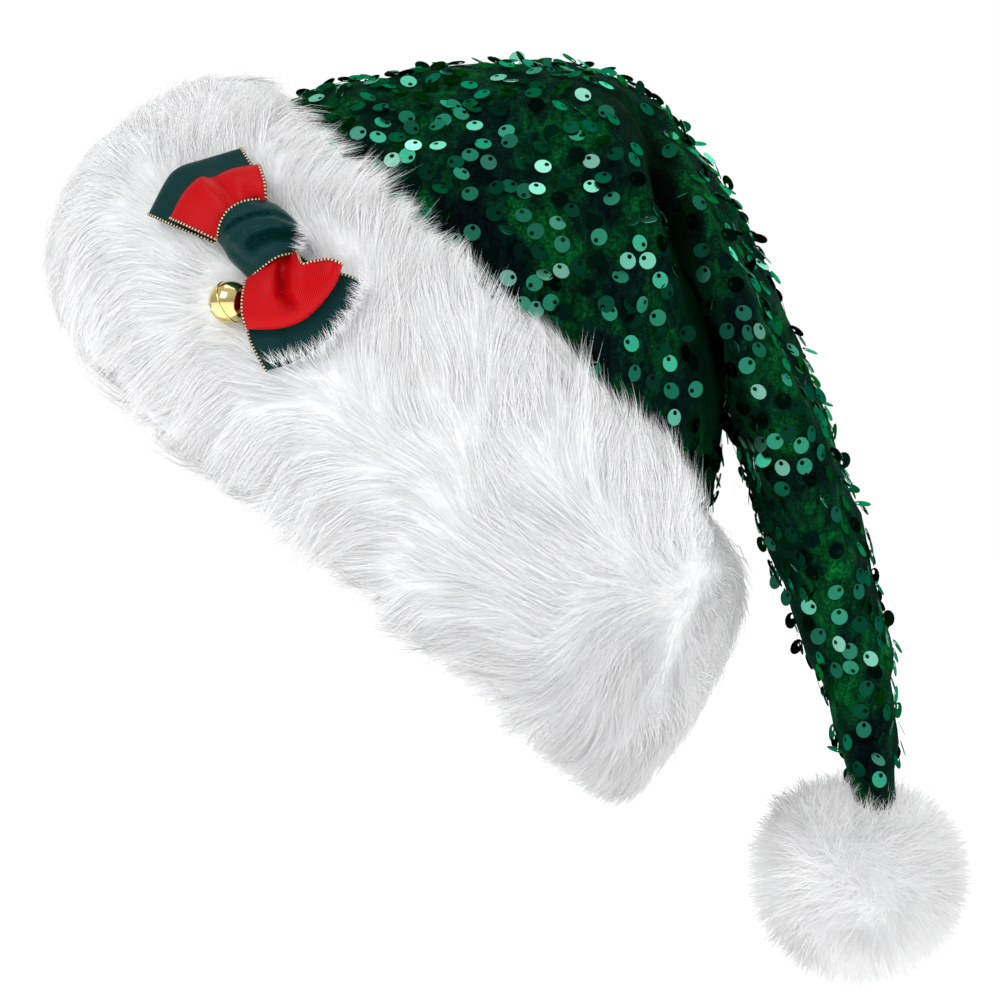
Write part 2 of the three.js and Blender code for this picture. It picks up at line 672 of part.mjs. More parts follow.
// Pompom: a ball of fur with locks all round, sewn to the tail's tip.
const tip = ring(velvetPoint, tipRow, 0).reduce(
  (sum, p) => sum.addScaledVector(p, 1 / facetCount),
  vec(0, 0, 0),
);
const pompomCentre = vec(
  tip.x - 0.08 * pompomWidth,
  tip.y,
  tip.z - pompomHeight / 2 + tipSink,
);
function pompomGeometry() {
  const coreShare = 0.86;
  const squash = pompomHeight / pompomWidth;
  const core = new THREE.SphereGeometry((pompomWidth / 2) * coreShare, 16, 10);
  core.rotateX(Math.PI / 2).scale(1, 1, squash);
  const locks = [];
  for (let i = 0; i < pompomLockCount; i++) {
    const height = 1 - (2 * (i + 0.5)) / pompomLockCount;
    const turn = i * Math.PI * (3 - Math.sqrt(5));
    const level = Math.sqrt(1 - height * height);
    const way = vec(level * Math.cos(turn), level * Math.sin(turn), height * squash);
    const side = vec(-Math.sin(turn), Math.cos(turn), 0);
    const lie = new THREE.Vector3().crossVectors(side, way).normalize();
    lie.multiplyScalar(0.7 + 0.3 * scatter(i, 1));
    const start = way.clone().normalize();
    const finish = start.clone().multiplyScalar(0.5).add(lie).normalize();
    const root = way.clone().multiplyScalar((pompomWidth / 2) * coreShare * 0.74);
    const length = (pompomWidth / 2) * (0.46 + 0.08 * scatter(i, 2));
    locks.push(lock(root, start, finish, side, length, lockWidth * 0.8));
  }
  const plugRows = [19, 20, 21, 22, tipRow];
  const plug = plugRows.map((row) => ring(velvetPoint, row, clearance));
  const below = plug[plug.length - 1].map((p) => p.clone().add(vec(0, 0, -clearance)));
  const ball = wasm.Manifold.union([solid(core), ...locks]).translate(pompomCentre.toArray());
  return geometryOf(largest(ball.subtract(solid(throughRings([...plug, below])))));
}

const finishes = {
  velvet: new THREE.MeshStandardMaterial({ color: 0x0b4a2c, roughness: 0.9 }),
  cuffCloth: new THREE.MeshStandardMaterial({ color: 0xe8e6e1, roughness: 0.95 }),
  fur: new THREE.MeshStandardMaterial({ color: 0xf3f3f2, roughness: 1 }),
  greenSatin: new THREE.MeshStandardMaterial({ color: 0x0d3d33, roughness: 0.4 }),
  redSatin: new THREE.MeshStandardMaterial({ color: 0xc4141c, roughness: 0.4 }),
  brass: new THREE.MeshStandardMaterial({ color: 0xc9a83c, roughness: 0.25, metalness: 1 }),
  steel: new THREE.MeshStandardMaterial({ color: 0x9a9a98, roughness: 0.35, metalness: 1 }),
};

function piece(name, geometry, finish) {
  const mesh = new THREE.Mesh(geometry, finish);
  mesh.name = name;
  return mesh;
}

const hat = new THREE.Group();
hat.add(
  piece("crown", crownGeometry(), finishes.velvet),
  piece("cuff", cuffGeometry(), finishes.cuffCloth),
  piece("cuff_fur", cuffFurGeometry(), finishes.fur),
  piece("pompom", pompomGeometry(), finishes.fur),
);

const greenRibbon = ribbonGeometry(greenLoops, greenReach, greenRibbonWidth, greenHeights);
const redRibbon = ribbonGeometry(redLoops, redReach, redRibbonWidth, redHeights);
const bow = new THREE.Group();
bow.applyMatrix4(bowPlace);
bow.add(
  piece("bow_green_ribbon", greenRibbon, finishes.greenSatin),
  piece("bow_red_ribbon", redRibbon, finishes.redSatin),
  piece("bow_knot", knotGeometry(), finishes.greenSatin),
);

// The bell hangs from a jump ring at the knot's corner. Its eye and the ring lie crosswise.
const bell = new THREE.Group();
bell.position.copy(bellCentre);
const bellUp = bellAxis.clone().negate();
const slotWay = vec(0, 0, 1).cross(bellAxis).normalize(); // the slot lies across the cuff
const slotSide = bellUp.clone().cross(slotWay);
bell.quaternion.setFromRotationMatrix(new THREE.Matrix4().makeBasis(slotWay, slotSide, bellUp));
const pellet = new THREE.IcosahedronGeometry(pelletDiameter / 2, 1);
pellet.translate(0, 0, -(bellRadius - bellWall - pelletDiameter / 2 - 2 * clearance));
const jumpRing = new THREE.TorusGeometry(ringReach, bellWire / 2, 5, 12);
jumpRing.rotateY(Math.PI / 2);
jumpRing.translate(0, 0, eyeCentreHeight + ringReach);
bell.add(
  piece("bell_shell", bellGeometry(), finishes.brass),
  piece("bell_pellet", pellet, finishes.steel),
  piece("bell_ring", jumpRing, finishes.brass),
);
bow.add(bell);
hat.add(bow);

export default hat;
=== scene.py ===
# A green velvet Santa hat as it is worn: sequins, a deep white fur cuff, a pompom and a bow
# with a jingle bell. Metres, +Z up. The wearer faces -X and the bow is at -Y.
import json
import math

import bpy
import numpy as np
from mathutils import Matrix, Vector
from mathutils.bvhtree import BVHTree
from mathutils.kdtree import KDTree

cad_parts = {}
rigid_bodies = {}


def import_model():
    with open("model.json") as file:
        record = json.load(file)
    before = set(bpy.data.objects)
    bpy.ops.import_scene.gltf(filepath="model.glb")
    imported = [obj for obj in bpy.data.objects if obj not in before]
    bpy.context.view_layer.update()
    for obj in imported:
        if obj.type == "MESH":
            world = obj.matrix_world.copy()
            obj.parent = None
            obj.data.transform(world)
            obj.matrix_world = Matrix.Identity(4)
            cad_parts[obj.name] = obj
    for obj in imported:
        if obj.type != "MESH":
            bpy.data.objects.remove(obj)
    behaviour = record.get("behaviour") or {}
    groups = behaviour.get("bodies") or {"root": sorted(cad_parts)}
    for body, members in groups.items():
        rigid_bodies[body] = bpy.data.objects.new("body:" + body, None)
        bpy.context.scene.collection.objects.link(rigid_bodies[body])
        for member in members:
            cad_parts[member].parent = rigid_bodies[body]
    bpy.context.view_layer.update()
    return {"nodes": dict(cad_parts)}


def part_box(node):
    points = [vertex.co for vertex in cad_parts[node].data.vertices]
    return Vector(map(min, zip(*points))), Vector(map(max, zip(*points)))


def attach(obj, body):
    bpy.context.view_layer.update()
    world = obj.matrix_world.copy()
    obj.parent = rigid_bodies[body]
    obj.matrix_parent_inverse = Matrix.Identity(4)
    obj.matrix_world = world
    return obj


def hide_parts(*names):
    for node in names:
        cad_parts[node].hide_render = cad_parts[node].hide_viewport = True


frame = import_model()
cadNodes = frame["nodes"]
mm = 0.001


# Camera: a plain side view, as the photo's, at a 1000 x 1000 frame of 360 mm
camera = {"distance": 1.8, "aimX": 0.0482, "aimZ": 0.0288, "seen": 0.36, "sensor": 36}


def addCamera():
    bpy.ops.object.camera_add(
        location=(camera["aimX"], -camera["distance"], camera["aimZ"]),
        rotation=(math.pi / 2, 0, 0),
    )
    eye = bpy.context.active_object
    eye.name = "sideCamera"
    eye.data.sensor_width = camera["sensor"]
    eye.data.lens = camera["sensor"] * camera["distance"] / camera["seen"]
    bpy.context.scene.camera = eye


addCamera()
print("camera placed")


# Small helpers for modelling
def deselectAll():
    if bpy.context.object and bpy.context.object.mode != "OBJECT":
        bpy.ops.object.mode_set(mode="OBJECT")
    bpy.ops.object.select_all(action="DESELECT")


def activate(piece):
    deselectAll()
    piece.select_set(True)
    bpy.context.view_layer.objects.active = piece


def applyModifier(piece, kind, **settings):
    activate(piece)
    modifier = piece.modifiers.new(kind.title(), kind)
    for name, value in settings.items():
        setattr(modifier, name, value)
    bpy.ops.object.modifier_apply(modifier=modifier.name)


def subdivide(piece, levels):
    applyModifier(piece, "SUBSURF", levels=levels, render_levels=levels)


def editAll(piece, operator, **settings):
    # one mesh operator in edit mode, on all of the piece
    activate(piece)
    bpy.ops.object.mode_set(mode="EDIT")
    bpy.ops.mesh.select_all(action="SELECT")
    operator(**settings)
    bpy.ops.object.mode_set(mode="OBJECT")


def copyOfNode(node, name, quads=True):
    # a node's mesh is loose triangles, so the copy is merged before anything else
    mesh = cadNodes[node].data.copy()
    mesh.name = name
    mesh.materials.clear()
    piece = bpy.data.objects.new(name, mesh)
    bpy.context.scene.collection.objects.link(piece)
    editAll(piece, bpy.ops.mesh.remove_doubles, threshold=0.02 * mm)
    if quads:
        joinTriangles(piece)
    return piece


def joinTriangles(piece):
    # triangles of the same material become quads again
    widest = {"face_threshold": math.pi, "shape_threshold": math.pi}
    editAll(piece, bpy.ops.mesh.tris_convert_to_quads, materials=True, **widest)


def applyPlace(piece):
    activate(piece)
    bpy.ops.object.transform_apply(location=True, rotation=True, scale=True)


def joinPieces(pieces, name):
    deselectAll()
    for piece in pieces:
        piece.select_set(True)
    bpy.context.view_layer.objects.active = pieces[0]
    if len(pieces) > 1:
        bpy.ops.object.join()
    joined = bpy.context.active_object
    joined.name = name
    joined.data.name = name
    return joined


def shadeSmooth(piece, angle=None):
    activate(piece)
    if angle is None:
        bpy.ops.object.shade_smooth()
    else:
        bpy.ops.object.shade_smooth_by_angle(angle=math.radians(angle))


def meshPoints(piece):
    points = np.empty(len(piece.data.vertices) * 3)
    piece.data.vertices.foreach_get("co", points)
    return points.reshape(-1, 3)


def movePoints(piece, points):
    piece.data.vertices.foreach_set("co", np.asarray(points, dtype=float).ravel())
    piece.data.update()


def vertexNormals(piece):
    normals = np.empty(len(piece.data.vertices) * 3)
    piece.data.vertex_normals.foreach_get("vector", normals)
    return normals.reshape(-1, 3)


def treeOf(piece):
    mesh = piece.data
    return BVHTree.FromPolygons([v.co for v in mesh.vertices], [p.vertices for p in mesh.polygons])


def leanNormals(piece, normals, share):
    # shading normals that lean towards given ones, so that fine hair shades as a soft surface
    own = vertexNormals(piece)
    blended = unit(normals * share + own * (1 - share))
    piece.data.normals_split_custom_set_from_vertices(blended)


def smoothCurve(points, shares):
    # a smooth curve through a few points, read at shares of its length
    points = np.array(points, dtype=float)
    gaps = np.linalg.norm(np.diff(points, axis=0), axis=1)
    places = np.concatenate([[0], np.cumsum(gaps)]) / gaps.sum()
    slopes = np.empty_like(points)
    slopes[1:-1] = (points[2:] - points[:-2]) / (places[2:] - places[:-2])[:, None]
    slopes[0] = (points[1] - points[0]) / places[1]
    slopes[-1] = (points[-1] - points[-2]) / (1 - places[-2])
    shares = np.clip(np.asarray(shares, dtype=float), 0, 1)
    i = np.clip(np.searchsorted(places, shares, side="right") - 1, 0, len(gaps) - 1)
    wide = (places[i + 1] - places[i])[:, None]
    t = (shares - places[i])[:, None] / wide
    start = (2 * t**3 - 3 * t**2 + 1) * points[i] + (t**3 - 2 * t**2 + t) * wide * slopes[i]
    return start + (3 * t**2 - 2 * t**3) * points[i + 1] + (t**3 - t**2) * wide * slopes[i + 1]


def unit(vectors):
    return vectors / np.maximum(np.linalg.norm(vectors, axis=-1, keepdims=True), 1e-9)


def shareOf(values, start, end):
    # 0 up to start, 1 from end on, and straight between them
    return np.clip((values - start) / (end - start), 0, 1)


def softNoise(points, size, seed):
    # a smooth repeatable noise of about -1 to 1, as a sum of waves in random directions
    rng = np.random.default_rng(seed)
    ways = unit(rng.normal(size=(9, 3))) * rng.uniform(0.7, 1.7, (9, 1)) * 2 * math.pi / size
    waves = np.sin(points @ ways.T + rng.uniform(0, 2 * math.pi, 9))
    return waves.sum(axis=1) / 3


def meshFromArrays(name, points, faces, tonesAndPaintedLight=None):
    # faces all have the same number of corners
    mesh = bpy.data.meshes.new(name)
    corners = faces.shape[1]
    mesh.vertices.add(len(points))
    mesh.vertices.foreach_set("co", np.asarray(points, dtype=np.float32).ravel())
    mesh.loops.add(faces.size)
    mesh.loops.foreach_set("vertex_index", faces.astype(np.int32).ravel())
    mesh.polygons.add(len(faces))
    mesh.polygons.foreach_set("loop_start", np.arange(0, faces.size, corners, dtype=np.int32))
    mesh.update(calc_edges=True)
    if tonesAndPaintedLight is not None:
        attribute = mesh.attributes.new("tone", "FLOAT", "POINT")
        attribute.data.foreach_set("value", np.asarray(tonesAndPaintedLight, dtype=np.float32))
    piece = bpy.data.objects.new(name, mesh)
    bpy.context.scene.collection.objects.link(piece)
    return piece


def scatterOn(piece, count, rng, keep=None):
    # random points on a mesh by area, with their normals; keep picks faces
    mesh = piece.data
    mesh.calc_loop_triangles()
    triangles = mesh.loop_triangles
    corners = np.empty(len(triangles) * 3, dtype=np.int32)
    triangles.foreach_get("vertices", corners)
    corners = corners.reshape(-1, 3)
    owners = np.empty(len(triangles), dtype=np.int32)
    triangles.foreach_get("polygon_index", owners)
    if keep is not None:
        corners = corners[keep[owners]]
    points = meshPoints(piece)[corners]
    normals = vertexNormals(piece)[corners]
    cross = np.cross(points[:, 1] - points[:, 0], points[:, 2] - points[:, 0])
    areas = np.linalg.norm(cross, axis=1)
    chosen = rng.choice(len(areas), count, p=areas / areas.sum())
    u, v = rng.random(count), rng.random(count)
    over = u + v > 1
    u[over], v[over] = 1 - u[over], 1 - v[over]
    weights = np.stack([1 - u - v, u, v], axis=1)[:, :, None]
    return (points[chosen] * weights).sum(axis=1), unit((normals[chosen] * weights).sum(axis=1))


# The head's axis and the opening's long axis, from the cuff's tilt
tilt = math.radians(40)
headUp = np.array([math.sin(tilt), 0, math.cos(tilt)])
headBack = np.array([math.cos(tilt), 0, -math.sin(tilt)])
headLength, headWidth = 0.216, 0.158


def roundHead(points):
    # height over the opening, and the angle round the head: 0 at the nape, 180 at the brow
    height = points @ headUp
    angle = np.arctan2(-points[:, 1] / headWidth, (points @ headBack) / headLength)
    return height, np.degrees(angle)


# Material helpers
def newMaterial(name, **settings):
    material = bpy.data.materials.new(name)
    material.use_nodes = True
    shader = material.node_tree.nodes["Principled BSDF"]
    for socket, value in settings.items():
        label = "".join(" " + c if c.isupper() else c for c in socket).strip().title()
        shader.inputs[label].default_value = value
    return material, material.node_tree, shader


def addNode(tree, kind, **settings):
    node = tree.nodes.new("ShaderNode" + kind)
    for name, value in settings.items():
        if name in node.inputs:
            node.inputs[name].default_value = value
        else:
            setattr(node, name, value)
    return node


def addRamp(tree, source, stops):
    ramp = tree.nodes.new("ShaderNodeValToRGB")
    elements = ramp.color_ramp.elements
    while len(elements) < len(stops):
        elements.new(0.5)
    for element, (place, colour) in zip(elements, stops):
        element.position = place
        element.color = (*colour, 1)
    tree.links.new(source, ramp.inputs["Fac"])
    return ramp.outputs["Color"]


def addNoise(tree, scale, detail=3.0, roughness=0.55, stretch=(1, 1, 1), turn=(0, 0, 0)):
    coordinates = addNode(tree, "TexCoord")
    mapping = addNode(tree, "Mapping")
    mapping.inputs["Scale"].default_value = stretch
    mapping.inputs["Rotation"].default_value = turn
    tree.links.new(coordinates.outputs["Object"], mapping.inputs["Vector"])
    grain = addNode(tree, "TexNoise")
    grain.inputs["Scale"].default_value = scale
    grain.inputs["Detail"].default_value = detail
    grain.inputs["Roughness"].default_value = roughness
    tree.links.new(mapping.outputs["Vector"], grain.inputs["Vector"])
    return grain.outputs["Fac"]


def addBump(tree, shader, height, strength, distance):
    bump = addNode(tree, "Bump")
    bump.inputs["Strength"].default_value = strength
    bump.inputs["Distance"].default_value = distance
    tree.links.new(height, bump.inputs["Height"])
    tree.links.new(bump.outputs["Normal"], shader.inputs["Normal"])


def multiplyColours(tree, first, second):
    mix = addNode(tree, "Mix", data_type="RGBA", blend_type="MULTIPLY")
    sockets = {s.name: s for s in mix.inputs if s.enabled}
    sockets["Factor"].default_value = 1
    tree.links.new(first, sockets["A"])
    tree.links.new(second, sockets["B"])
    return [s for s in mix.outputs if s.enabled][0]


# Velvet: short green pile, brushed into patches whose light and dark colours are painted sheen and
# painted shade
velvet = {
    "shadow": (0.0008, 0.0035, 0.0055),
    "deep": (0.0006, 0.012, 0.01),
    "lit": (0.0004, 0.042, 0.011),
    "bright": (0.001, 0.12, 0.02),
    "patch": 52,  # noise scale of the brushed patches of painted sheen and shade
    "fold": 1.3 * mm,  # depth of the crushed folds
    "rimHeight": 87 * mm,  # of the crown's open rim over the opening, inside the cuff
    "rimBack": 125 * mm,  # how far back that rim can lie
    # the crease where the crown turns down into the tail, as X and Z in millimetres
    "crease": [
        (89.5, 170), (102.5, 150), (107, 133), (112, 118), (115.5, 101), (119, 85), (122.5, 71),
        (124.5, 55),
    ],
    "creaseWidth": 5.5 * mm,
    "creaseDepth": 3.5 * mm,
    "rays": 24,  # cast from each point to find how open it lies, for the velvet's painted shade
    "rayReach": 45 * mm,
}


def velvetMaterial():
    material, tree, shader = newMaterial("greenVelvet", roughness=0.85)
    shader.inputs["Sheen Weight"].default_value = 0.08
    shader.inputs["Sheen Roughness"].default_value = 0.35
    shader.inputs["Sheen Tint"].default_value = (0.0, 0.85, 0.3, 1)
    shader.inputs["Specular IOR Level"].default_value = 0.03
    patches = addNoise(tree, velvet["patch"], 6, 0.66, stretch=(1, 1, 0.7))
    # painted sheen and painted shade: random patches that run from shadow-dark to lit bright green
    brushedSheenAndShade = addRamp(
        tree,
        patches,
        [
            (0.38, velvet["shadow"]),
            (0.47, velvet["deep"]),
            (0.55, velvet["lit"]),
            (0.7, velvet["bright"]),
        ],
    )
    pile = addNoise(tree, 850, 4, 0.75)
    flecks = addRamp(tree, pile, [(0.36, (0.2, 0.2, 0.26)), (0.66, (1.9, 1.8, 1.7))])
    colour = multiplyColours(tree, brushedSheenAndShade, flecks)
    strands = addNoise(tree, 330, 3, 0.6, stretch=(1, 1, 0.35), turn=(0.2, 0.5, 0))
    streaks = addRamp(tree, strands, [(0.38, (0.45, 0.45, 0.5)), (0.64, (1.35, 1.35, 1.3))])
    colour = multiplyColours(tree, colour, streaks)
    # painted shade: the colour is darkened where few rays leave the cloth, and darker still in the crease
    paintedShadeOpenness = addNode(tree, "Attribute", attribute_name="paintedShadeOpenness")
    shade = addRamp(tree, paintedShadeOpenness.outputs["Fac"], [(0.2, (0.02, 0.02, 0.03)), (0.85, (1, 1, 1))])
    colour = multiplyColours(tree, colour, shade)
    tree.links.new(colour, shader.inputs["Base Color"])
    addBump(tree, shader, pile, 0.9, 1.2 * mm)
    return material


def velvetBackMaterial():
    # the knitted back of the velvet, seen inside the hat
    material, tree, shader = newMaterial("velvetBack", roughness=0.9)
    knit = addNoise(tree, 900, 2, 0.5, stretch=(1, 1, 2.5))
    colour = addRamp(tree, knit, [(0.35, (0.004, 0.03, 0.018)), (0.7, (0.01, 0.075, 0.04))])
    tree.links.new(colour, shader.inputs["Base Color"])
    addBump(tree, shader, knit, 0.5, 0.4 * mm)
    return material


def outerFaces(piece):
    # the velvet side: all that is reached from the topmost face without crossing the rim
    faces = piece.data.polygons
    owners = {}
    for face in faces:
        for edge in face.edge_keys:
            owners.setdefault(edge, []).append(face.index)
    up = Vector(headUp)
    back = Vector(headBack)
    level = velvet["rimHeight"] + 4 * mm
    rim = [
        face.center.dot(up) < level
        and face.center.dot(back) < velvet["rimBack"]
        and face.normal.dot(up) < -0.7
        for face in faces
    ]
    seen = np.zeros(len(faces), dtype=bool)
    waiting = [max(range(len(faces)), key=lambda i: faces[i].center.z)]
    seen[waiting[0]] = True
    while waiting:
        for edge in faces[waiting.pop()].edge_keys:
            for other in owners[edge]:
                if not seen[other] and not rim[other]:
                    seen[other] = True
                    waiting.append(other)
    return seen


def creaseShare(points):
    # 1 in the middle of the crease, 0 away from it
    path = smoothCurve(np.array(velvet["crease"]) * mm, np.linspace(0, 1, 60))
    far = np.linalg.norm(points[:, None, ::2] - path[None], axis=2).min(axis=1)
    return np.exp(-((far / velvet["creaseWidth"]) ** 2))


def opennessOf(piece, wanted):
    # the share of rays from each wanted point that leave the cloth, evened out over its edges; it sets
    # the velvet's painted shade
    tree = treeOf(piece)
    points, normals = meshPoints(piece), vertexNormals(piece)
    count = velvet["rays"]
    turns = np.arange(count) * math.pi * (3 - math.sqrt(5))
    rise = np.sqrt((np.arange(count) + 0.5) / count)
    fan = np.stack([np.cos(turns) * rise, np.sin(turns) * rise, np.sqrt(1 - rise**2)], axis=1)
    result = np.ones(len(points))
    for i in np.nonzero(wanted)[0]:
        place = Vector(points[i] + normals[i] * 0.5 * mm)
        turn = Vector((0, 0, 1)).rotation_difference(Vector(normals[i])).to_matrix()
        found = (tree.ray_cast(place, turn @ Vector(way), velvet["rayReach"])[0] for way in fan)
        result[i] = 1 - sum(hit is not None for hit in found) / count
    edges = np.empty(len(piece.data.edges) * 2, dtype=np.int32)
    piece.data.edges.foreach_get("vertices", edges)
    a, b = edges.reshape(-1, 2).T
    near = np.bincount(edges, minlength=len(points)) + 1
    for _ in range(3):
        result = result + np.bincount(a, result[b], len(points)) + np.bincount(b, result[a], len(points))
        result /= near
    return result


def makeCrown():
    crown = copyOfNode("crown", "crownVelvet", quads=False)
    crown.data.materials.append(velvetMaterial())
    crown.data.materials.append(velvetBackMaterial())
    for face, out in zip(crown.data.polygons, outerFaces(crown)):
        face.material_index = 0 if out else 1
    joinTriangles(crown)
    subdivide(crown, 2)
    points, normals = meshPoints(crown), vertexNormals(crown)
    isOut = np.zeros(len(points), dtype=bool)
    for face in crown.data.polygons:
        if face.material_index == 0:
            isOut[list(face.vertices)] = True
    crush = softNoise(points, 0.034, 11) * 0.7 + softNoise(points, 0.015, 12) * 0.45
    points[isOut] += normals[isOut] * (crush[isOut] * velvet["fold"])[:, None]
    crease = creaseShare(points)
    inwards = np.minimum(crease * velvet["creaseDepth"], np.abs(points[:, 1]) * 0.3)
    points[:, 1] -= np.sign(points[:, 1]) * inwards
    movePoints(crown, points)
    shadeSmooth(crown)
    # painted shade: darker where the cloth is hemmed in, and much darker along the crease
    paintedShadeOpenness = opennessOf(crown, isOut) * (1 - 0.85 * crease)
    attribute = crown.data.attributes.new("paintedShadeOpenness", "FLOAT", "POINT")
    attribute.data.foreach_set("value", paintedShadeOpenness.astype(np.float32))
    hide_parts("crown")
    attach(crown, "root")
    return crown


crown = makeCrown()
velvetSide = np.array([f.material_index == 0 for f in crown.data.polygons])
print("velvet crown made,", len(crown.data.polygons), "faces,", velvetSide.sum(), "of them velvet")


# Cuff: the knitted band that the fur is on
def makeCuff():
    band = copyOfNode("cuff", "cuffBand")
    subdivide(band, 2)
    shadeSmooth(band)
    material, tree, shader = newMaterial("cuffCloth", roughness=0.9)
    coordinates = addNode(tree, "TexCoord")
    ribs = addNode(tree, "TexWave", wave_type="BANDS", bands_direction="DIAGONAL")
    ribs.inputs["Scale"].default_value = 260
    ribs.inputs["Distortion"].default_value = 2.5
    ribs.inputs["Detail"].default_value = 2
    ribs.inputs["Detail Scale"].default_value = 2
    tree.links.new(coordinates.outputs["Object"], ribs.inputs["Vector"])
    colour = addRamp(tree, ribs.outputs["Fac"], [(0.2, (0.62, 0.61, 0.59)), (0.8, (0.86, 0.85, 0.83))])
    tree.links.new(colour, shader.inputs["Base Color"])
    addBump(tree, shader, ribs.outputs["Fac"], 0.6, 0.5 * mm)
    band.data.materials.append(material)
    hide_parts("cuff")
    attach(band, "root")


makeCuff()
print("cuff band made")


# Bow: ribbon loops and a wrapped knot. Places are millimetres right and up of the knot's
# middle as seen from the side, and heights are millimetres towards the viewer.
bow = {
    "right": -34.1 * mm,  # of the knot's middle, in X and Z
    "up": 116.2 * mm,
    "sink": 1.5,  # of the ribbons' back under the middle of the green ribbon
    "droop": 2.5,  # more of it at the ends, where the cuff curves away
    "reach": 40 * mm,
    "thick": 0.45 * mm,
    "deepest": 1.2,  # of a furrow's floor over the loop's back
    "columns": 25,
    "rows": 49,
    # share of the way from the knot to the fold, and share of the loop's height
    "loopRows": [
        (0, 0.45), (0.12, 0.7), (0.3, 0.93), (0.5, 1), (0.7, 1), (0.84, 0.93), (0.94, 0.74),
        (0.99, 0.5), (1, 0.3), (0.985, 0.12), (0.94, 0.03), (0.8, 0), (0.5, 0), (0.2, 0), (0, 0),
    ],
    "knotRows": [
        (0.07, -0.25), (0, 0), (0, 0.25), (0.04, 0.6), (0.16, 0.86), (0.34, 0.98), (0.5, 1),
        (0.66, 0.98), (0.84, 0.86), (0.96, 0.6), (1, 0.25), (1, 0), (0.93, -0.25),
        (0.7, -0.3), (0.3, -0.3), (0.07, -0.25),
    ],
}
# first and last are the ribbon's edges from the knot to the fold; start and end run across it
greenLeft = {
    "first": [(-14.7, 1.0), (-27.0, 6.2), (-39.3, 11.8)],
    "last": [(2.4, 15.4), (-1.2, 22.5), (-3.8, 28.0), (-7.5, 33.9)],
    "start": [(-14.7, 1.0), (2.4, 15.4)],
    "end": [(-39.3, 11.8), (-32.5, 24.6), (-28.4, 28.0), (-21.2, 30.1), (-7.5, 33.9)],
    "back": 0.8,
    "front": 6.5,
    "strokes": [([(-22, 29.5), (-18, 22)], 2.4, 0.7, 0.2), ([(-12, 30), (-9, 24)], 3, -0.8, -0.3)],
}
redLeft = {
    "first": [(-14.4, 1.9), (-22.5, 5.8), (-31.1, 9.9)],
    "last": [(2.1, 15.4), (1.4, 21.5), (-0.7, 27.7)],
    "start": [(-14.4, 1.9), (2.1, 15.4)],
    "end": [(-31.1, 9.9), (-26.3, 18.8), (-20.5, 23.9), (-17.1, 23.3), (-9.9, 26.3), (-0.7, 27.7)],
    "back": 7.0,
    "front": 11.5,
    "strokes": [
        ([(-17.1, 23.6), (-12, 18.6), (-9.4, 14)], 1.7, -2.6, -1.0),
        ([(-20.5, 23.5), (-14, 14)], 3.2, 1.0, 0.3),
        ([(-8, 24), (-5, 17)], 3.4, 0.9, 0.4),
        ([(-4, 19), (-1, 15)], 1.6, -1.0, -1.8),
        ([(-12, 8), (-9, 6.5)], 2.0, -0.6, -1.6),
    ],
}
redRight = {
    "first": [(-3.8, -12.0), (-4.8, -18.1), (-4.9, -23.6), (-3.5, -29.4)],
    "last": [(13.0, -3.1), (15.2, -7.6), (18.5, -7.0), (24.3, -6.3), (29.0, -7.9)],
    "start": [(-3.8, -12.0), (1.7, -7.9), (7.2, -4.4), (13.0, -3.1)],
    "end": [
        (-3.5, -29.4), (4.4, -29.6), (10.1, -28.8), (15.7, -26.6), (21.5, -21.5), (27, -14), (29, -7.9),
    ],
    "back": 7.2,
    "front": 15.5,
    "strokes": [
        ([(9.2, -3.5), (8.4, -11.5), (8.8, -17.5), (11.5, -21.5)], 2.2, -8.5, -4.5),
        ([(6.4, -4.5), (5.6, -11.5), (5.8, -18)], 1.3, 1.6, 1.2),
        ([(2.0, -9), (1.5, -20)], 4.0, 1.6, 0.4),
        ([(14.5, -9), (17, -20)], 4.2, 2.8, 1.0),
        ([(23, -8), (22, -14)], 3.0, -1.2, -0.4),
    ],
}
greenRight = {
    "first": [(-2.7, -12.7), (-3.6, -22.0), (-3.1, -30.1), (-1.7, -34.5), (3.1, -43.4)],
    "last": [(13.0, -4.0), (21.0, -9.0), (29.4, -11.3), (35.6, -13.5)],
    "start": [(-2.7, -12.7), (13.0, -4.0)],
    "end": [
        (3.1, -43.4), (8.9, -41.9), (14.8, -39.3), (21.5, -35.2), (27.4, -29.2), (32, -22), (35.6, -13.5),
    ],
    "back": 0.8,
    "front": 6.5,
    "strokes": [([(12, -36), (9, -28)], 3.0, -1.2, -1.2), ([(22, -30), (17, -22)], 3.4, 0.9, 0.4)],
}
knotWrap = {
    "first": [(-14.4, 1.2), (-13.1, 6.8), (-10.3, 11.4), (-5.1, 14.4), (1.7, 15.4)],
    "last": [(-3.5, -12.0), (1.7, -7.9), (7.2, -4.4), (13, -3.1)],
    "start": [(-14.4, 1.2), (-12.6, -1.2), (-10.3, -5.1), (-6.8, -8.7), (-3.5, -12.0)],
    "end": [(1.7, 15.4), (5.2, 14.0), (10.1, 10.3), (14.5, 5.3), (15.4, 1.7), (13, -3.1)],
    "back": 1.5,
    "front": 14.5,
    "columns": 41,
    "strokes": [
        ([(-10.2, 3.2), (-6.3, 6.3), (-0.7, 8.3), (5, 8.5), (10.6, 6.3), (13.5, 4)], 0.9, 1.6, 1.6),
        ([(-10.9, 5.4), (-6.8, 8.1), (-0.7, 10.0), (5.6, 10.1), (11.5, 7.6)], 0.9, -1.8, -1.8),
        ([(-2.2, -0.6), (-0.7, 1.0), (4.4, 2.9), (10.6, 2.6), (15, 2.2)], 1.9, -3.6, -6.5),
        ([(-7, 0), (-4.8, 3.8)], 2.0, 1.0, 1.0),
        ([(0.5, -4.2), (7, -1.2)], 2.3, 1.5, 1.0),
        ([(-8.5, -2.5), (-2.5, -7.5)], 1.5, -1.3, -0.8),
    ],
}
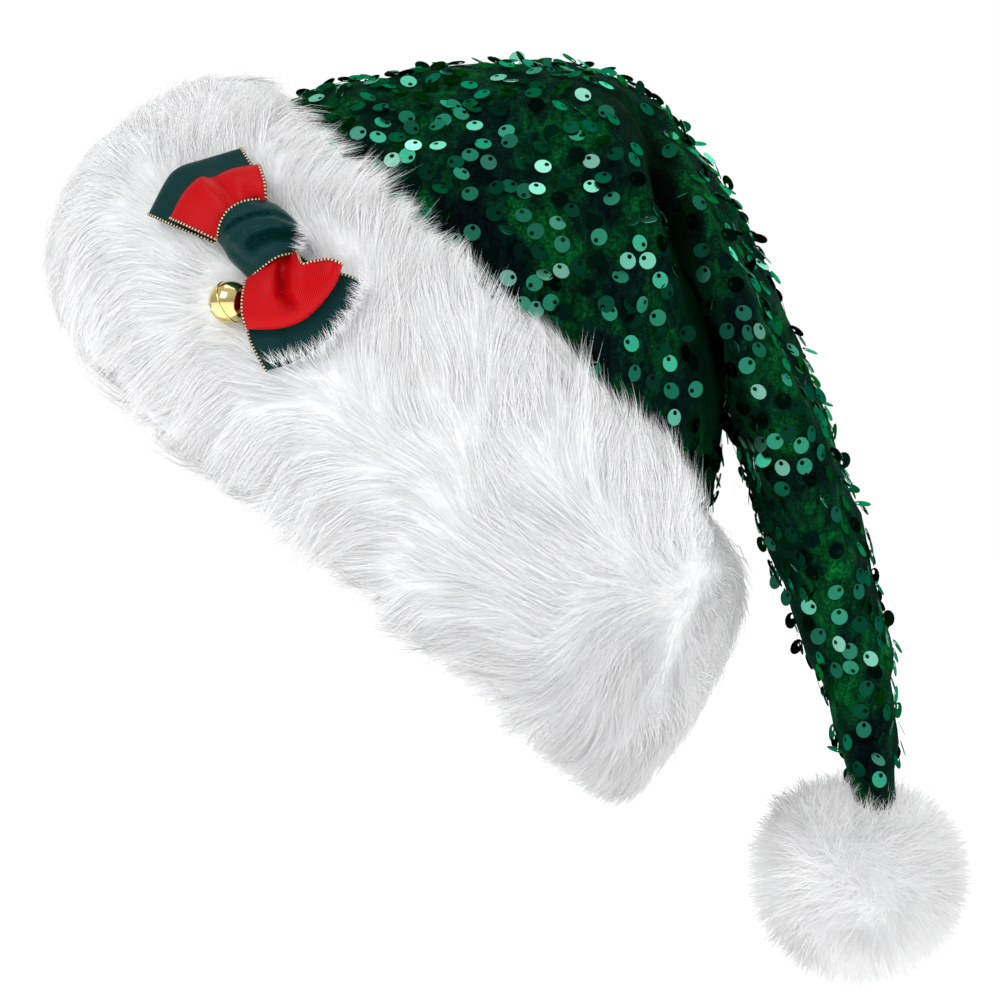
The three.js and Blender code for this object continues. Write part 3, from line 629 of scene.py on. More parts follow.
ribbon = {
    "green": (0.002, 0.033, 0.032),
    "red": (0.52, 0.003, 0.006),
    "greenEdge": (0.004, 0.014, 0.01),
    "redEdge": (0.2, 0.004, 0.006),
    "gold": (0.95, 0.8, 0.46),
    "twill": 26,  # lines across the ribbon
}
edging = {
    "core": 0.5 * mm,  # radius of the dark thread
    "stitch": (0.46 * mm, 0.34 * mm, 0.5 * mm),  # half sizes along, out of and over the edge
    "pitch": 1.25 * mm,
    "beyond": 0.32 * mm,  # how far the thread lies past the ribbon's edge
    "proud": 0.24 * mm,  # and the stitches in front of the thread
}


def bowPlane():
    # the middle of the green ribbon and the way that it faces, found from its node
    points = meshPoints(cadNodes["bow_green_ribbon"])
    middle = (points.min(axis=0) + points.max(axis=0)) / 2
    values, ways = np.linalg.eigh(np.cov((points - points.mean(axis=0)).T))
    return middle, ways[:, 0] * -np.sign(ways[1, 0])


bowMiddle, bowOut = bowPlane()


def bowPoints(places, heights):
    x = bow["right"] + places[..., 0] * mm
    z = bow["up"] + places[..., 1] * mm
    dx, dz = x - bowMiddle[0], z - bowMiddle[2]
    sag = bow["sink"] + bow["droop"] * (dx**2 + dz**2) / bow["reach"] ** 2
    y = bowMiddle[1] + (-sag * mm - bowOut[0] * dx - bowOut[2] * dz) / bowOut[1]
    return np.stack([x, y - heights * mm, z], axis=-1)


def spreadOver(sheet, along, across):
    # places over a sheet between its four edge curves
    s, v = along[:, None, None], across[None, :, None]
    first, last = smoothCurve(sheet["first"], along), smoothCurve(sheet["last"], along)
    start, end = smoothCurve(sheet["start"], across), smoothCurve(sheet["end"], across)
    sides = (1 - v) * first[:, None] + v * last[:, None]
    ends = (1 - s) * start[None] + s * end[None]
    corners = (1 - s) * ((1 - v) * start[0] + v * start[-1]) + s * ((1 - v) * end[0] + v * end[-1])
    return sides + ends - corners


def strokeOver(places, path, width, pushStart, pushEnd):
    # a smooth furrow or ridge along a path, from one push to another
    best = np.full(places.shape[:-1], np.inf)
    push = np.zeros_like(best)
    path = np.array(path, dtype=float)
    steps = len(path) - 1
    for i in range(steps):
        a, b = path[i], path[i + 1]
        t = np.clip(((places - a) @ (b - a)) / ((b - a) @ (b - a)), 0, 1)
        far = np.linalg.norm(places - (a + t[..., None] * (b - a)), axis=-1)
        nearer = far < best
        best = np.where(nearer, far, best)
        push = np.where(nearer, pushStart + (pushEnd - pushStart) * (i + t) / steps, push)
    return push * np.exp(-((best / width) ** 2))


def makeSheet(name, sheet, rowTable, rows, material):
    # one length of ribbon as a grid, laid round its loop, then given its thickness
    columns = sheet.get("columns", bow["columns"])
    tall = sheet["front"] - sheet["back"]
    # the front of the loop follows the strokes, its back doesn't
    scaled = [(s * 30, h * tall) for s, h in rowTable]
    course = smoothCurve(scaled, np.linspace(0, 1, rows))
    along, share = course[:, 0] / 30, course[:, 1] / tall
    across = np.linspace(0, 1, columns)
    places = spreadOver(sheet, np.clip(along, 0, 1), across)
    crowned = 1 - 0.12 * (2 * across - 1) ** 2
    heights = sheet["back"] + tall * share[:, None] * crowned[None]
    inFront = shareOf(share, 0.3, 0.7)[:, None]
    for path, width, pushStart, pushEnd in sheet["strokes"]:
        pushed = heights + inFront * strokeOver(places, path, width, pushStart, pushEnd)
        heights = np.maximum(pushed, np.minimum(heights, sheet["back"] + bow["deepest"]))
    points = bowPoints(places, heights)
    deselectAll()
    bpy.ops.mesh.primitive_grid_add(x_subdivisions=columns - 1, y_subdivisions=rows - 1, size=1)
    piece = bpy.context.active_object
    piece.name = name
    piece.data.name = name
    flat = meshPoints(piece)
    column = np.rint((flat[:, 0] + 0.5) * (columns - 1)).astype(int)
    row = np.rint((flat[:, 1] + 0.5) * (rows - 1)).astype(int)
    movePoints(piece, points[row, column])
    front = [f for f in piece.data.polygons if share[row[f.vertices[0]]] > 0.9]
    facing = sum(f.normal.y * f.area for f in front)
    if facing > 0:
        editAll(piece, bpy.ops.mesh.flip_normals)
    editAll(piece, bpy.ops.mesh.remove_doubles, threshold=0.01 * mm)
    applyModifier(piece, "SOLIDIFY", thickness=bow["thick"], offset=-1)
    shadeSmooth(piece, 50)
    piece.data.materials.append(material)
    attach(piece, "root")
    beyond = edging["beyond"]
    low = points[:, 0] + unit(points[:, 0] - points[:, 1]) * beyond
    high = points[:, -1] + unit(points[:, -1] - points[:, -2]) * beyond
    return piece, low, high


def satinMaterial(name, colour):
    material, tree, shader = newMaterial(name, roughness=0.38)
    shader.inputs["Specular IOR Level"].default_value = 0.09
    coordinates = addNode(tree, "TexCoord")
    mapping = addNode(tree, "Mapping")
    mapping.inputs["Scale"].default_value = (ribbon["twill"], ribbon["twill"] * 2.6, 1)
    tree.links.new(coordinates.outputs["UV"], mapping.inputs["Vector"])
    ribs = addNode(tree, "TexWave", wave_type="BANDS", bands_direction="DIAGONAL")
    ribs.inputs["Scale"].default_value = 0.62
    tree.links.new(mapping.outputs["Vector"], ribs.inputs["Vector"])
    dark = tuple(c * 0.68 for c in colour)
    light = tuple(c * 1.2 for c in colour)
    woven = addRamp(tree, ribs.outputs["Fac"], [(0.2, dark), (0.8, light)])
    tree.links.new(woven, shader.inputs["Base Color"])
    addBump(tree, shader, ribs.outputs["Fac"], 0.25, 0.1 * mm)
    return material


def threadMaterial(name, colour, **settings):
    material, tree, shader = newMaterial(name, **settings)
    fuzz = addNoise(tree, 1800, 2, 0.6)
    dark = tuple(c * 0.6 for c in colour)
    tree.links.new(addRamp(tree, fuzz, [(0.35, dark), (0.65, colour)]), shader.inputs["Base Color"])
    addBump(tree, shader, fuzz, 0.4, 0.1 * mm)
    return material


greenSatin = satinMaterial("greenSatin", ribbon["green"])
redSatin = satinMaterial("redSatin", ribbon["red"])
goldThread = threadMaterial("goldThread", ribbon["gold"], roughness=0.3, metallic=0.8)
greenThread = threadMaterial("greenThread", ribbon["greenEdge"], roughness=0.7)
redThread = threadMaterial("redThread", ribbon["redEdge"], roughness=0.7)


def evenly(path, step):
    # a path read at even steps, with the way along it at each
    gaps = np.linalg.norm(np.diff(path, axis=0), axis=1)
    places = np.concatenate([[0], np.cumsum(gaps)])
    wanted = np.arange(step / 2, places[-1], step)
    points = np.stack([np.interp(wanted, places, path[:, i]) for i in range(3)], axis=1)
    ways = unit(np.gradient(points, axis=0))
    return points, ways


def makeEdging(name, paths, thread):
    # a dark thread along each edge, with gold stitches over it
    deselectAll()
    bpy.ops.mesh.primitive_ico_sphere_add(subdivisions=1, radius=1)
    bead = bpy.context.active_object
    bead.scale = edging["stitch"]
    applyPlace(bead)
    shape = meshPoints(bead)
    faces = np.array([list(f.vertices) for f in bead.data.polygons])
    bpy.data.objects.remove(bead)
    allPoints, allFaces, kinds, start = [], [], [], 0
    sides = 5
    for path in paths:
        points, ways = evenly(path, edging["pitch"])
        out = unit(np.cross(ways, np.cross(np.tile([0.0, -1.0, 0.0], (len(ways), 1)), ways)) + 1e-6)
        over = np.cross(ways, out)
        slant = unit(ways * 0.85 + over * 0.5)
        side = np.cross(slant, out)
        placed = (
            (points + out * edging["proud"])[:, None]
            + shape[None, :, 0:1] * slant[:, None]
            + shape[None, :, 1:2] * out[:, None]
            + shape[None, :, 2:3] * side[:, None]
        )
        allPoints.append(placed.reshape(-1, 3))
        beads = (np.arange(len(points))[:, None, None] * len(shape) + faces[None]).reshape(-1, 3)
        allFaces.append(beads + start)
        kinds += [0] * len(beads)
        start += len(points) * len(shape)
        rings = []
        for i in range(sides):
            turn = 2 * math.pi * i / sides
            rings.append(points + edging["core"] * (math.cos(turn) * out + math.sin(turn) * over))
        tube = np.stack(rings, axis=1).reshape(-1, 3)
        tips = np.stack([points[0], points[-1]])
        walls = []
        for k in range(len(points) - 1):
            for i in range(sides):
                j = (i + 1) % sides
                a, b = k * sides, (k + 1) * sides
                walls += [(a + i, b + i, a + j), (a + j, b + i, b + j)]
        far = len(tube)
        last = (len(points) - 1) * sides
        for i in range(sides):
            j = (i + 1) % sides
            walls += [(i, j, far), (last + j, last + i, far + 1)]
        allPoints += [tube, tips]
        allFaces.append(np.array(walls) + start)
        kinds += [1] * len(walls)
        start += len(tube) + 2
    piece = meshFromArrays(name, np.concatenate(allPoints), np.concatenate(allFaces))
    editAll(piece, bpy.ops.mesh.normals_make_consistent, inside=False)
    shadeSmooth(piece)
    piece.data.materials.append(goldThread)
    piece.data.materials.append(thread)
    piece.data.polygons.foreach_set("material_index", kinds)
    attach(piece, "root")
    return piece


def makeBow():
    loops, loopRows = [], bow["loopRows"]
    plan = (
        ("bowGreenRibbon", "bow_green_ribbon", (greenLeft, greenRight), greenSatin, "green_ribbon"),
        ("bowRedRibbon", "bow_red_ribbon", (redLeft, redRight), redSatin, "red_ribbon"),
    )
    threads = {"green_ribbon": greenThread, "red_ribbon": redThread}
    for name, node, sheets, material, slot in plan:
        sides, paths = [], []
        for i, sheet in enumerate(sheets):
            part, low, high = makeSheet(f"{name}{i}", sheet, loopRows, bow["rows"], material)
            sides.append(part)
            paths += [low, high]
        piece = joinPieces(sides, name)
        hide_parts(node)
        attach(piece, "root")
        loops += [piece, makeEdging(name + "Edging", paths, threads[slot])]
    wrap, low, high = makeSheet(
        "bowKnot", knotWrap, bow["knotRows"], bow["rows"] * 2, greenSatin
    )
    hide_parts("bow_knot")
    loops += [wrap, makeEdging("bowKnotEdging", [low, high], greenThread)]
    return loops


bowPieces = makeBow()
print("bow made")


# Bell
def brassMaterial():
    material, tree, shader = newMaterial("polishedBrass", roughness=0.14, metallic=1.0)
    tarnish = addNoise(tree, 220, 3, 0.6)
    colour = addRamp(tree, tarnish, [(0.3, (0.76, 0.6, 0.22)), (0.7, (0.92, 0.78, 0.38))])
    tree.links.new(colour, shader.inputs["Base Color"])
    return material


def bellFrame():
    # the ball's middle and size, and the way to its wire eye, from the shell's own points
    points = meshPoints(cadNodes["bell_shell"])
    for _ in range(4):
        table = np.concatenate([2 * points, np.ones((len(points), 1))], axis=1)
        answer = np.linalg.lstsq(table, (points**2).sum(axis=1), rcond=None)[0]
        far = np.linalg.norm(points - answer[:3], axis=1)
        points = points[np.abs(far - np.median(far)) < 0.8 * mm]
    middle = answer[:3]
    points = meshPoints(cadNodes["bell_shell"])
    far = np.linalg.norm(points - middle, axis=1)
    eye = points[far > far.max() - 0.6 * mm].mean(axis=0) - middle
    up = eye / np.linalg.norm(eye)
    way = unit(np.cross((0, 0, 1), up))
    return middle, np.median(far), np.stack([way, np.cross(up, way), up])


bell = {
    "wall": 0.5 * mm,
    "lip": 0.34 * mm,  # radius of the rolled seam between the two halves
    "slotLength": 9.5 * mm,
    "slotWidth": 1.5 * mm,
    "slotEnd": 1.5 * mm,  # radius of the round holes at the slot's ends
    "eye": 1.7 * mm,  # radius of the wire eye
    "wire": 0.42 * mm,
}


def placeBell(piece, middle, axes):
    movePoints(piece, meshPoints(piece) @ axes + middle)


def cutShape(kind, size, place):
    deselectAll()
    if kind == "box":
        bpy.ops.mesh.primitive_cube_add(size=1, location=place)
        bpy.context.active_object.scale = size
    else:
        bpy.ops.mesh.primitive_cylinder_add(vertices=24, radius=size[0], depth=size[2], location=place)
    cutter = bpy.context.active_object
    applyPlace(cutter)
    return cutter


def makeBell():
    brass = brassMaterial()
    middle, radius, axes = bellFrame()
    deselectAll()
    bpy.ops.mesh.primitive_uv_sphere_add(segments=48, ring_count=28, radius=radius)
    ball = bpy.context.active_object
    applyModifier(ball, "SOLIDIFY", thickness=bell["wall"], offset=-1)
    half = bell["slotLength"] / 2
    low = (0, 0, -radius)
    cutters = [cutShape("box", (2 * half, bell["slotWidth"], radius * 1.2), low)]
    for side in (-half, half):
        size = (bell["slotEnd"], bell["slotEnd"], radius * 1.2)
        cutters.append(cutShape("round", size, (side, 0, -radius * 0.9)))
    for cutter in cutters:
        applyModifier(ball, "BOOLEAN", object=cutter, operation="DIFFERENCE", solver="EXACT")
        bpy.data.objects.remove(cutter)
    deselectAll()
    bpy.ops.mesh.primitive_torus_add(
        major_radius=radius, minor_radius=bell["lip"], major_segments=48, minor_segments=8
    )
    lip = bpy.context.active_object
    deselectAll()
    bpy.ops.mesh.primitive_torus_add(
        major_radius=bell["eye"],
        minor_radius=bell["wire"],
        major_segments=24,
        minor_segments=8,
        location=(0, 0, radius + bell["eye"] - bell["wire"]),
        rotation=(math.pi / 2, 0, 0),
    )
    eye = bpy.context.active_object
    applyPlace(eye)
    shell = joinPieces([ball, lip, eye], "bellShell")
    placeBell(shell, middle, axes)
    ring = copyOfNode("bell_ring", "bellRing")
    subdivide(ring, 2)
    for piece, node in ((shell, "bell_shell"), (ring, "bell_ring")):
        shadeSmooth(piece, 40)
        piece.data.materials.append(brass)
        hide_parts(node)
        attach(piece, "root")
    steel, tree, shader = newMaterial("pelletSteel", roughness=0.35, metallic=1.0)
    scuffs = addNoise(tree, 600, 3, 0.6)
    grey = addRamp(tree, scuffs, [(0.3, (0.4, 0.4, 0.4)), (0.7, (0.6, 0.6, 0.58))])
    tree.links.new(grey, shader.inputs["Base Color"])
    pellet = cadNodes["bell_pellet"]
    pellet.data.materials.clear()
    pellet.data.materials.append(steel)


makeBell()
print("bell made")


# Fur: a soft base under many thousands of tapering hairs, combed as on the hat
fur = {
    "voxel": 5 * mm,
    "inset": 4 * mm,  # of the base under the fur's outer form
    "upperEdge": 108 * mm,  # of the fur over the opening, at the side
    "upperDrop": 12 * mm,  # how much lower it is at the nape
    "upperRise": 5 * mm,  # and higher at the brow
    "lowerEdge": -8 * mm,  # at the side; at the brow it is in the opening's plane
    "napeBack": 127 * mm,  # how far back the fur reaches, along the opening
    "napeTop": 100 * mm,  # and where it rounds over to the velvet
    "hairs": 29500,  # in each of the pieces of fine hair
    "pieces": 3,
    "tuftHairs": 7000,
    "length": 30 * mm,
    "width": 0.2 * mm,
    "clumps": 2400,
    "lift": 0.2,  # how far a hair's root stands off the cuff
    "browLift": 0.3,  # and how much further at the brow and the nape
    "napeLift": 0.55,
    "napeStray": 4,  # how much more the nape's hairs stray than the others
    "clumpTurn": 0.14,  # how far each clump turns from the way of the hairs round it
    "pull": (0.05, 0.35),  # least and most that a hair's tip is drawn to its clump's tip
    "edgePull": 0.3,  # and how much more at the upper and lower edges
    "reach": 3 * mm,  # how far hairs stand past the fur's outer form
    "ragged": 4 * mm,  # and how much further in places
    "wisp": 14 * mm,  # longest tufts past the fur's upper and lower edges
    "softness": 0.97,  # share of the base's normal in the hairs' shading
    "glow": 0.14,  # painted light: a white glow that lifts the fur's shade, standing in for light that passes through the fine pile
    "napeReach": 7 * mm,  # how much further the pile stands off low at the nape
    "hang": 9 * mm,  # how far the pile hangs past its base at the side
    # the fur's roll at the brow: heights, and how far it stands out or lies back there
    "browHeights": (70, 80, 103, 120, 148, 166, 183),
    "browOut": (-6, -6, 0, 6.5, 6.5, 4, 0),
}


def furMaterial(name, glow):
    material, tree, shader = newMaterial(name, roughness=0.8)
    shader.inputs["Specular IOR Level"].default_value = 0.15
    tone = addNode(tree, "Attribute", attribute_name="tone")
    stops = [(0.0, (0.82, 0.83, 0.84)), (0.7, (0.87, 0.87, 0.87))]
    colour = addRamp(tree, tone.outputs["Fac"], stops)
    tree.links.new(colour, shader.inputs["Base Color"])
    # painted light: the hair glows white, which lifts its shade
    shader.inputs["Emission Color"].default_value = (1, 1, 1, 1)
    shader.inputs["Emission Strength"].default_value = glow
    return material


def furBaseMaterial():
    material, tree, shader = newMaterial("furBase", roughness=0.9)
    streaks = addNoise(tree, 260, 4, 0.6, stretch=(0.35, 1, 1))
    colour = addRamp(tree, streaks, [(0.3, (0.8, 0.82, 0.84)), (0.65, (0.92, 0.92, 0.92))])
    tree.links.new(colour, shader.inputs["Base Color"])
    addBump(tree, shader, streaks, 0.5, 1 * mm)
    return material


def pastEdges(points):
    # how far points lie above, below and behind the fur's outline on the head
    height, angle = roundHead(points)
    turn = np.abs(angle)
    brow, nape = shareOf(turn, 140, 180), shareOf(turn, 60, 15)
    top = fur["upperEdge"] - fur["upperDrop"] * nape + fur["upperRise"] * brow
    bottom = fur["lowerEdge"] * (1 - brow)
    share = np.clip(height / fur["napeTop"], 0, 0.98)
    rear = fur["napeBack"] * (1 - share**4) ** 0.3  # rounds over towards its top
    return height - top, bottom - height, points @ headBack - rear


def makeFurBase():
    base = copyOfNode("cuff_fur", "cuffFurBase")
    applyModifier(base, "REMESH", mode="VOXEL", voxel_size=fur["voxel"])
    applyModifier(base, "SMOOTH", factor=0.6, iterations=20)
    points, normals = meshPoints(base), vertexNormals(base)
    away = points - np.outer(points @ headUp, headUp)
    outer = (normals * unit(away)).sum(axis=1) > 0.15
    points[outer] -= normals[outer] * fur["inset"]
    front = shareOf(points[:, 0], -0.04, -0.07)
    front *= shareOf(np.abs(normals[:, 1]), 0.75, 0.4)  # the bow's place is left as it is
    out = np.interp(points[:, 2], np.array(fur["browHeights"]) * mm, np.array(fur["browOut"]) * mm)
    points[outer] += (normals * (front * out)[:, None])[outer]
    above, below, behind = (np.maximum(far + fur["inset"], 0) * 0.8 for far in pastEdges(points))
    points += np.outer(below * 1.2 - above, headUp) - np.outer(behind, headBack)
    movePoints(base, points)
    applyModifier(base, "SMOOTH", factor=0.5, iterations=8)
    shadeSmooth(base)
    base.data.materials.append(furBaseMaterial())
    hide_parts("cuff_fur")
    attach(base, "root")
    return base


# The way the fur is combed: up over the velvet above its parting, down and forwards below
comb = {
    "top": (98 * mm, 112 * mm),  # of the pile over the opening, at the nape and at the brow
    "uneven": 0.1,
    "parting": 0.5,  # the parting's height, as a share of the pile's
    "browParting": 0.22,  # and how much higher it is at the brow and at the nape
    "napeParting": 0.52,
    "turning": 4.5,  # how fast the hair turns at the parting, and how much less at the nape
    "napeTurning": 2.5,
    "partingWidth": 0.24,
    "forward": 0.32,  # how far the hair leans forwards, and how much more at the parting
    "partingForward": 0.8,
    "napeBack": 1.3,  # how far it leans back at the nape, and down
    "napeDown": 0.3,
    "wide": (0.4, 0.7),  # swirls 50 mm wide, and how much stronger at the nape
    "small": (0.22, 0.5),  # and 22 mm wide
}


def combDirection(points, normals):
    height, angle = roundHead(points)
    turn = np.abs(angle)
    side = np.sign(angle)
    brow, nape = shareOf(turn, 140, 180), shareOf(turn, 60, 15)
    low, high = comb["top"]
    top = low + (high - low) * (1 - np.cos(np.radians(turn))) / 2
    across = height / top + comb["uneven"] * softNoise(points, 0.09, 21)
    parting = comb["parting"] + comb["browParting"] * brow + comb["napeParting"] * nape
    up = np.tanh((across - parting) * (comb["turning"] - comb["napeTurning"] * nape))
    middle = np.exp(-(((across - parting) / comb["partingWidth"]) ** 2))
    forward = comb["forward"] + comb["partingForward"] * middle
    forward = forward * (1 - nape) - comb["napeBack"] * nape * (1 - across * 0.5)
    forward = forward * shareOf(turn, 180, 162) * shareOf(turn, 0, 34)
    # the way round the head towards the brow, on the wearer's left and right alike
    radial = points - np.outer(height, headUp)
    around = unit(np.cross(radial, headUp)) * side[:, None]
    around = around * np.sign((around @ -headBack))[:, None]
    way = (up - comb["napeDown"] * nape)[:, None] * headUp + forward[:, None] * around
    swirl = (comb["wide"][0] + comb["wide"][1] * nape) * softNoise(points, 0.05, 22)
    swirl += (comb["small"][0] + comb["small"][1] * nape) * softNoise(points, 0.022, 23)
    way = way + swirl[:, None] * unit(np.cross(normals, way))
    way = way - (way * normals).sum(axis=1)[:, None] * normals
    return unit(way), across, brow, turn


def hairShapes(roots, starts, ends, lengths, widths, bends):
    # points of closed spindles: the root, rings of three round the bends, and the tip
    def along(share):
        bent = share * share / 2
        return roots + starts * (lengths * (share - bent))[:, None] + ends * (lengths * bent)[:, None]

    side = unit(np.cross(starts, ends) + 1e-6)
    over = unit(np.cross(starts + ends, side))
    rows = [along(0)[:, None]]
    for share, girth in bends:
        middle = along(share)
        ring = []
        for corner in range(3):
            turn = corner * 2 * math.pi / 3
            reach = math.cos(turn) * side + math.sin(turn) * over
            ring.append(middle + reach * (widths * girth / 2)[:, None])
        rows.append(np.stack(ring, axis=1))
    rows.append(along(1)[:, None])
    return np.concatenate(rows, axis=1)


def hairFaces(count, rings):
    faces = []
    for i in range(3):
        j = (i + 1) % 3
        faces.append((0, 1 + j, 1 + i))
        for ring in range(rings - 1):
            a, b = 1 + 3 * ring, 4 + 3 * ring
            faces += [(a + i, a + j, b + j), (a + i, b + j, b + i)]
        last = 1 + 3 * (rings - 1)
        faces.append((last + i, last + j, 1 + 3 * rings))
    size = 2 + 3 * rings
    return (np.arange(count)[:, None, None] * size + np.array(faces)[None]).reshape(-1, 3)


def hairPiece(name, shapes, rings, tonesAndPaintedLight, normals, softness, material):
    count, size = shapes.shape[0], shapes.shape[1]
    each = np.repeat(np.clip(tonesAndPaintedLight, 0, 1), size)
    piece = meshFromArrays(name, shapes.reshape(-1, 3), hairFaces(count, rings), each)
    shadeSmooth(piece)
    leanNormals(piece, np.repeat(normals, size, axis=0), softness)
    piece.data.materials.append(material)
    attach(piece, "root")
    return piece


def holdIn(roots, starts, ends, lengths, allowed, edges, form, passes=7):
    # hairs whose tips stand too far out of the fur's outer form are cut shorter
    for _ in range(passes):
        tips = roots + (starts + ends) * (lengths / 2)[:, None]
        above, below, behind = pastEdges(tips)
        past = np.maximum.reduce([above - edges * 0.6, below, behind - 2 * mm])
        lengths[past > edges] *= 0.82
        for i, tip in enumerate(tips):
            place, normal, _, far = form.find_nearest(Vector(tip))
            if far > allowed[i] and (Vector(tip) - place).dot(normal) > 0:
                lengths[i] *= 0.82
    return lengths


def byTheBow(points):
    seen = points - np.array([bow["right"], 0, bow["up"]])
    flat = np.hypot(seen[:, 0], seen[:, 2])
    return (flat < bow["reach"] + 8 * mm) & (points[:, 1] < -0.05)


def makeHairs(name, count, rings, seed, material, base, keep, form):
    rng = np.random.default_rng(seed)
    roots, normals = scatterOn(base, count, rng, keep)
    way, across, brow, turn = combDirection(roots, normals)
    lengths = fur["length"] * rng.uniform(0.7, 1.15, count) * (1 - 0.5 * brow)
    nape, side = shareOf(turn, 70, 25), 1 - 0.65 * shareOf(turn, 115, 155)
    low, high = shareOf(across, 0.4, 0.1), shareOf(across, 0.7, 0.95)
    lift = fur["lift"] + fur["browLift"] * brow + fur["napeLift"] * nape * (1 - 0.5 * low)
    lift += rng.normal(0, 0.1, count)
    stray = 0.1 * unit(rng.normal(size=(count, 3))) * (1 + fur["napeStray"] * nape)[:, None]
    # each clump of hairs has its own way, and its hairs meet towards the tips
    clumpRng = np.random.default_rng(31)
    clumpRoots, clumpNormals = scatterOn(base, fur["clumps"], clumpRng, keep)
    clumpWay = combDirection(clumpRoots, clumpNormals)[0]
    finder = KDTree(len(clumpRoots))
    for i, place in enumerate(clumpRoots):
        finder.insert(place, i)
    finder.balance()
    nearest = np.array([finder.find(r)[1] for r in roots])
    clumpTurn = clumpRng.normal(0, fur["clumpTurn"], fur["clumps"])
    clumpWay = unit(clumpWay + clumpTurn[:, None] * np.cross(clumpNormals, clumpWay))
    clumpLong = clumpRng.uniform(0.8, 1.15, fur["clumps"])
    clumpTone = clumpRng.normal(0, 0.07, fur["clumps"])
    clumpEdge = fur["wisp"] * clumpRng.random(fur["clumps"]) ** 2
    start = unit(way + lift[:, None] * normals + stray)
    lengths *= clumpLong[nearest]
    clumpTip = clumpRoots + clumpWay * (fur["length"] * 0.9) + clumpNormals * fur["length"] * 0.05
    end = unit(0.6 * way + 0.4 * clumpWay[nearest] - 0.3 * normals + stray)
    tip = roots + (start + end) * (lengths / 2)[:, None]
    pull = rng.uniform(*fur["pull"], count) * (1 - 0.6 * brow) * (1 - 0.5 * nape)
    pull += fur["edgePull"] * np.maximum(low, high) * rng.random(count)
    target = tip + (clumpTip[nearest] - tip) * pull[:, None]
    end = unit(target - roots - start * (lengths / 2)[:, None])
    ragged = 0.5 + 0.5 * softNoise(roots, 0.012, 45)
    allowed = fur["reach"] * rng.uniform(0.3, 1.2, count) + fur["ragged"] * ragged * rng.random(count)
    allowed *= 1 - 0.5 * shareOf(across, 0.3, 0) + 0.8 * brow
    wisps = clumpEdge[nearest] * rng.uniform(0.3, 1, count) * (1 - 0.6 * brow)
    edges = allowed + wisps
    allowed += fur["inset"] + wisps * np.maximum(low, high)
    allowed += fur["hang"] * low * side * rng.uniform(0.4, 1, count)
    allowed += fur["napeReach"] * nape * shareOf(across, 0.6, 0.1) * rng.uniform(0.4, 1, count)
    allowed[byTheBow(roots)] = 1
    lengths = holdIn(roots, start, end, lengths, allowed, edges, form)
    widths = fur["width"] * rng.uniform(0.6, 1.15, count)
    bends = [(0.45, 1.0)] if rings == 1 else [(0.28, 1.0), (0.66, 0.75)]
    shapes = hairShapes(roots - normals * mm, start, end, lengths, widths, bends)
    shapes = layUnderBow(shapes)
    tonesAndPaintedLight = 0.6 + clumpTone[nearest] + rng.normal(0, 0.1, count)
    return hairPiece(name, shapes, rings, tonesAndPaintedLight, normals, fur["softness"], material)


def layUnderBow(shapes):
    # hairs that run under the bow or the bell are pressed flat behind them
    flat = shapes.reshape(-1, 3)
    away = Vector((0, -1, 0))
    clear = 0.6 * mm
    for i in np.nonzero(byTheBow(flat))[0]:
        point = Vector(flat[i])
        deep = point - away * 0.03
        for tree in bowTrees:
            hit = tree.ray_cast(deep, away, 0.06)[0]
            if hit is not None and (hit - point).dot(away) < clear:
                point = hit - away * clear
        flat[i] = point
    return flat.reshape(shapes.shape)


def makeFur():
    base = makeFurBase()
    points = np.array([f.center for f in base.data.polygons])
    normals = np.array([f.normal for f in base.data.polygons])
    away = points - np.outer(points @ headUp, headUp)
    keep = (normals * unit(away)).sum(axis=1) > -0.15
    form = treeOf(base)
    material = furMaterial("whiteFur", fur["glow"])
    pieces = [base]
    for i in range(fur["pieces"]):
        name = f"cuffFurHair{i + 1}"
        pieces.append(makeHairs(name, fur["hairs"], 1, 40 + i, material, base, keep, form))
    tufts = makeHairs("cuffFurTufts", fur["tuftHairs"], 2, 50, material, base, keep, form)
    return pieces + [tufts], material


bowTrees = [treeOf(p) for p in bowPieces if "Edging" not in p.name]
bowTrees += [treeOf(cadNodes["bell_shell"]), treeOf(cadNodes["bell_ring"])]
furPieces, whiteFur = makeFur()
print("fur made,", sum(len(p.data.polygons) for p in furPieces), "faces")


# Fur tips that stray over the ribbon's edges and the knot's end
bowTips = [
    # along: where they start from; way: right and up; then count, length and two heights
    {"along": [(6, -42.5), (15, -41), (23.5, -37.5), (30, -30)], "way": (-0.5, 0.9), "count": 230,
     "length": 8, "low": 2.5, "high": 8.5},
    {"along": [(30, -31), (35, -23), (38.5, -14)], "way": (-0.85, 0.5), "count": 170, "length": 7,
     "low": 2.5, "high": 8.5},
    {"along": [(36, -17), (37.5, -10)], "way": (-0.5, 0.9), "count": 50, "length": 5.5, "low": 2,
     "high": 7.5},
    {"along": [(15.5, -3), (17.5, 1.5), (15.5, 7)], "way": (-0.9, 0.15), "count": 90, "length": 5,
     "low": 6, "high": 13},
]


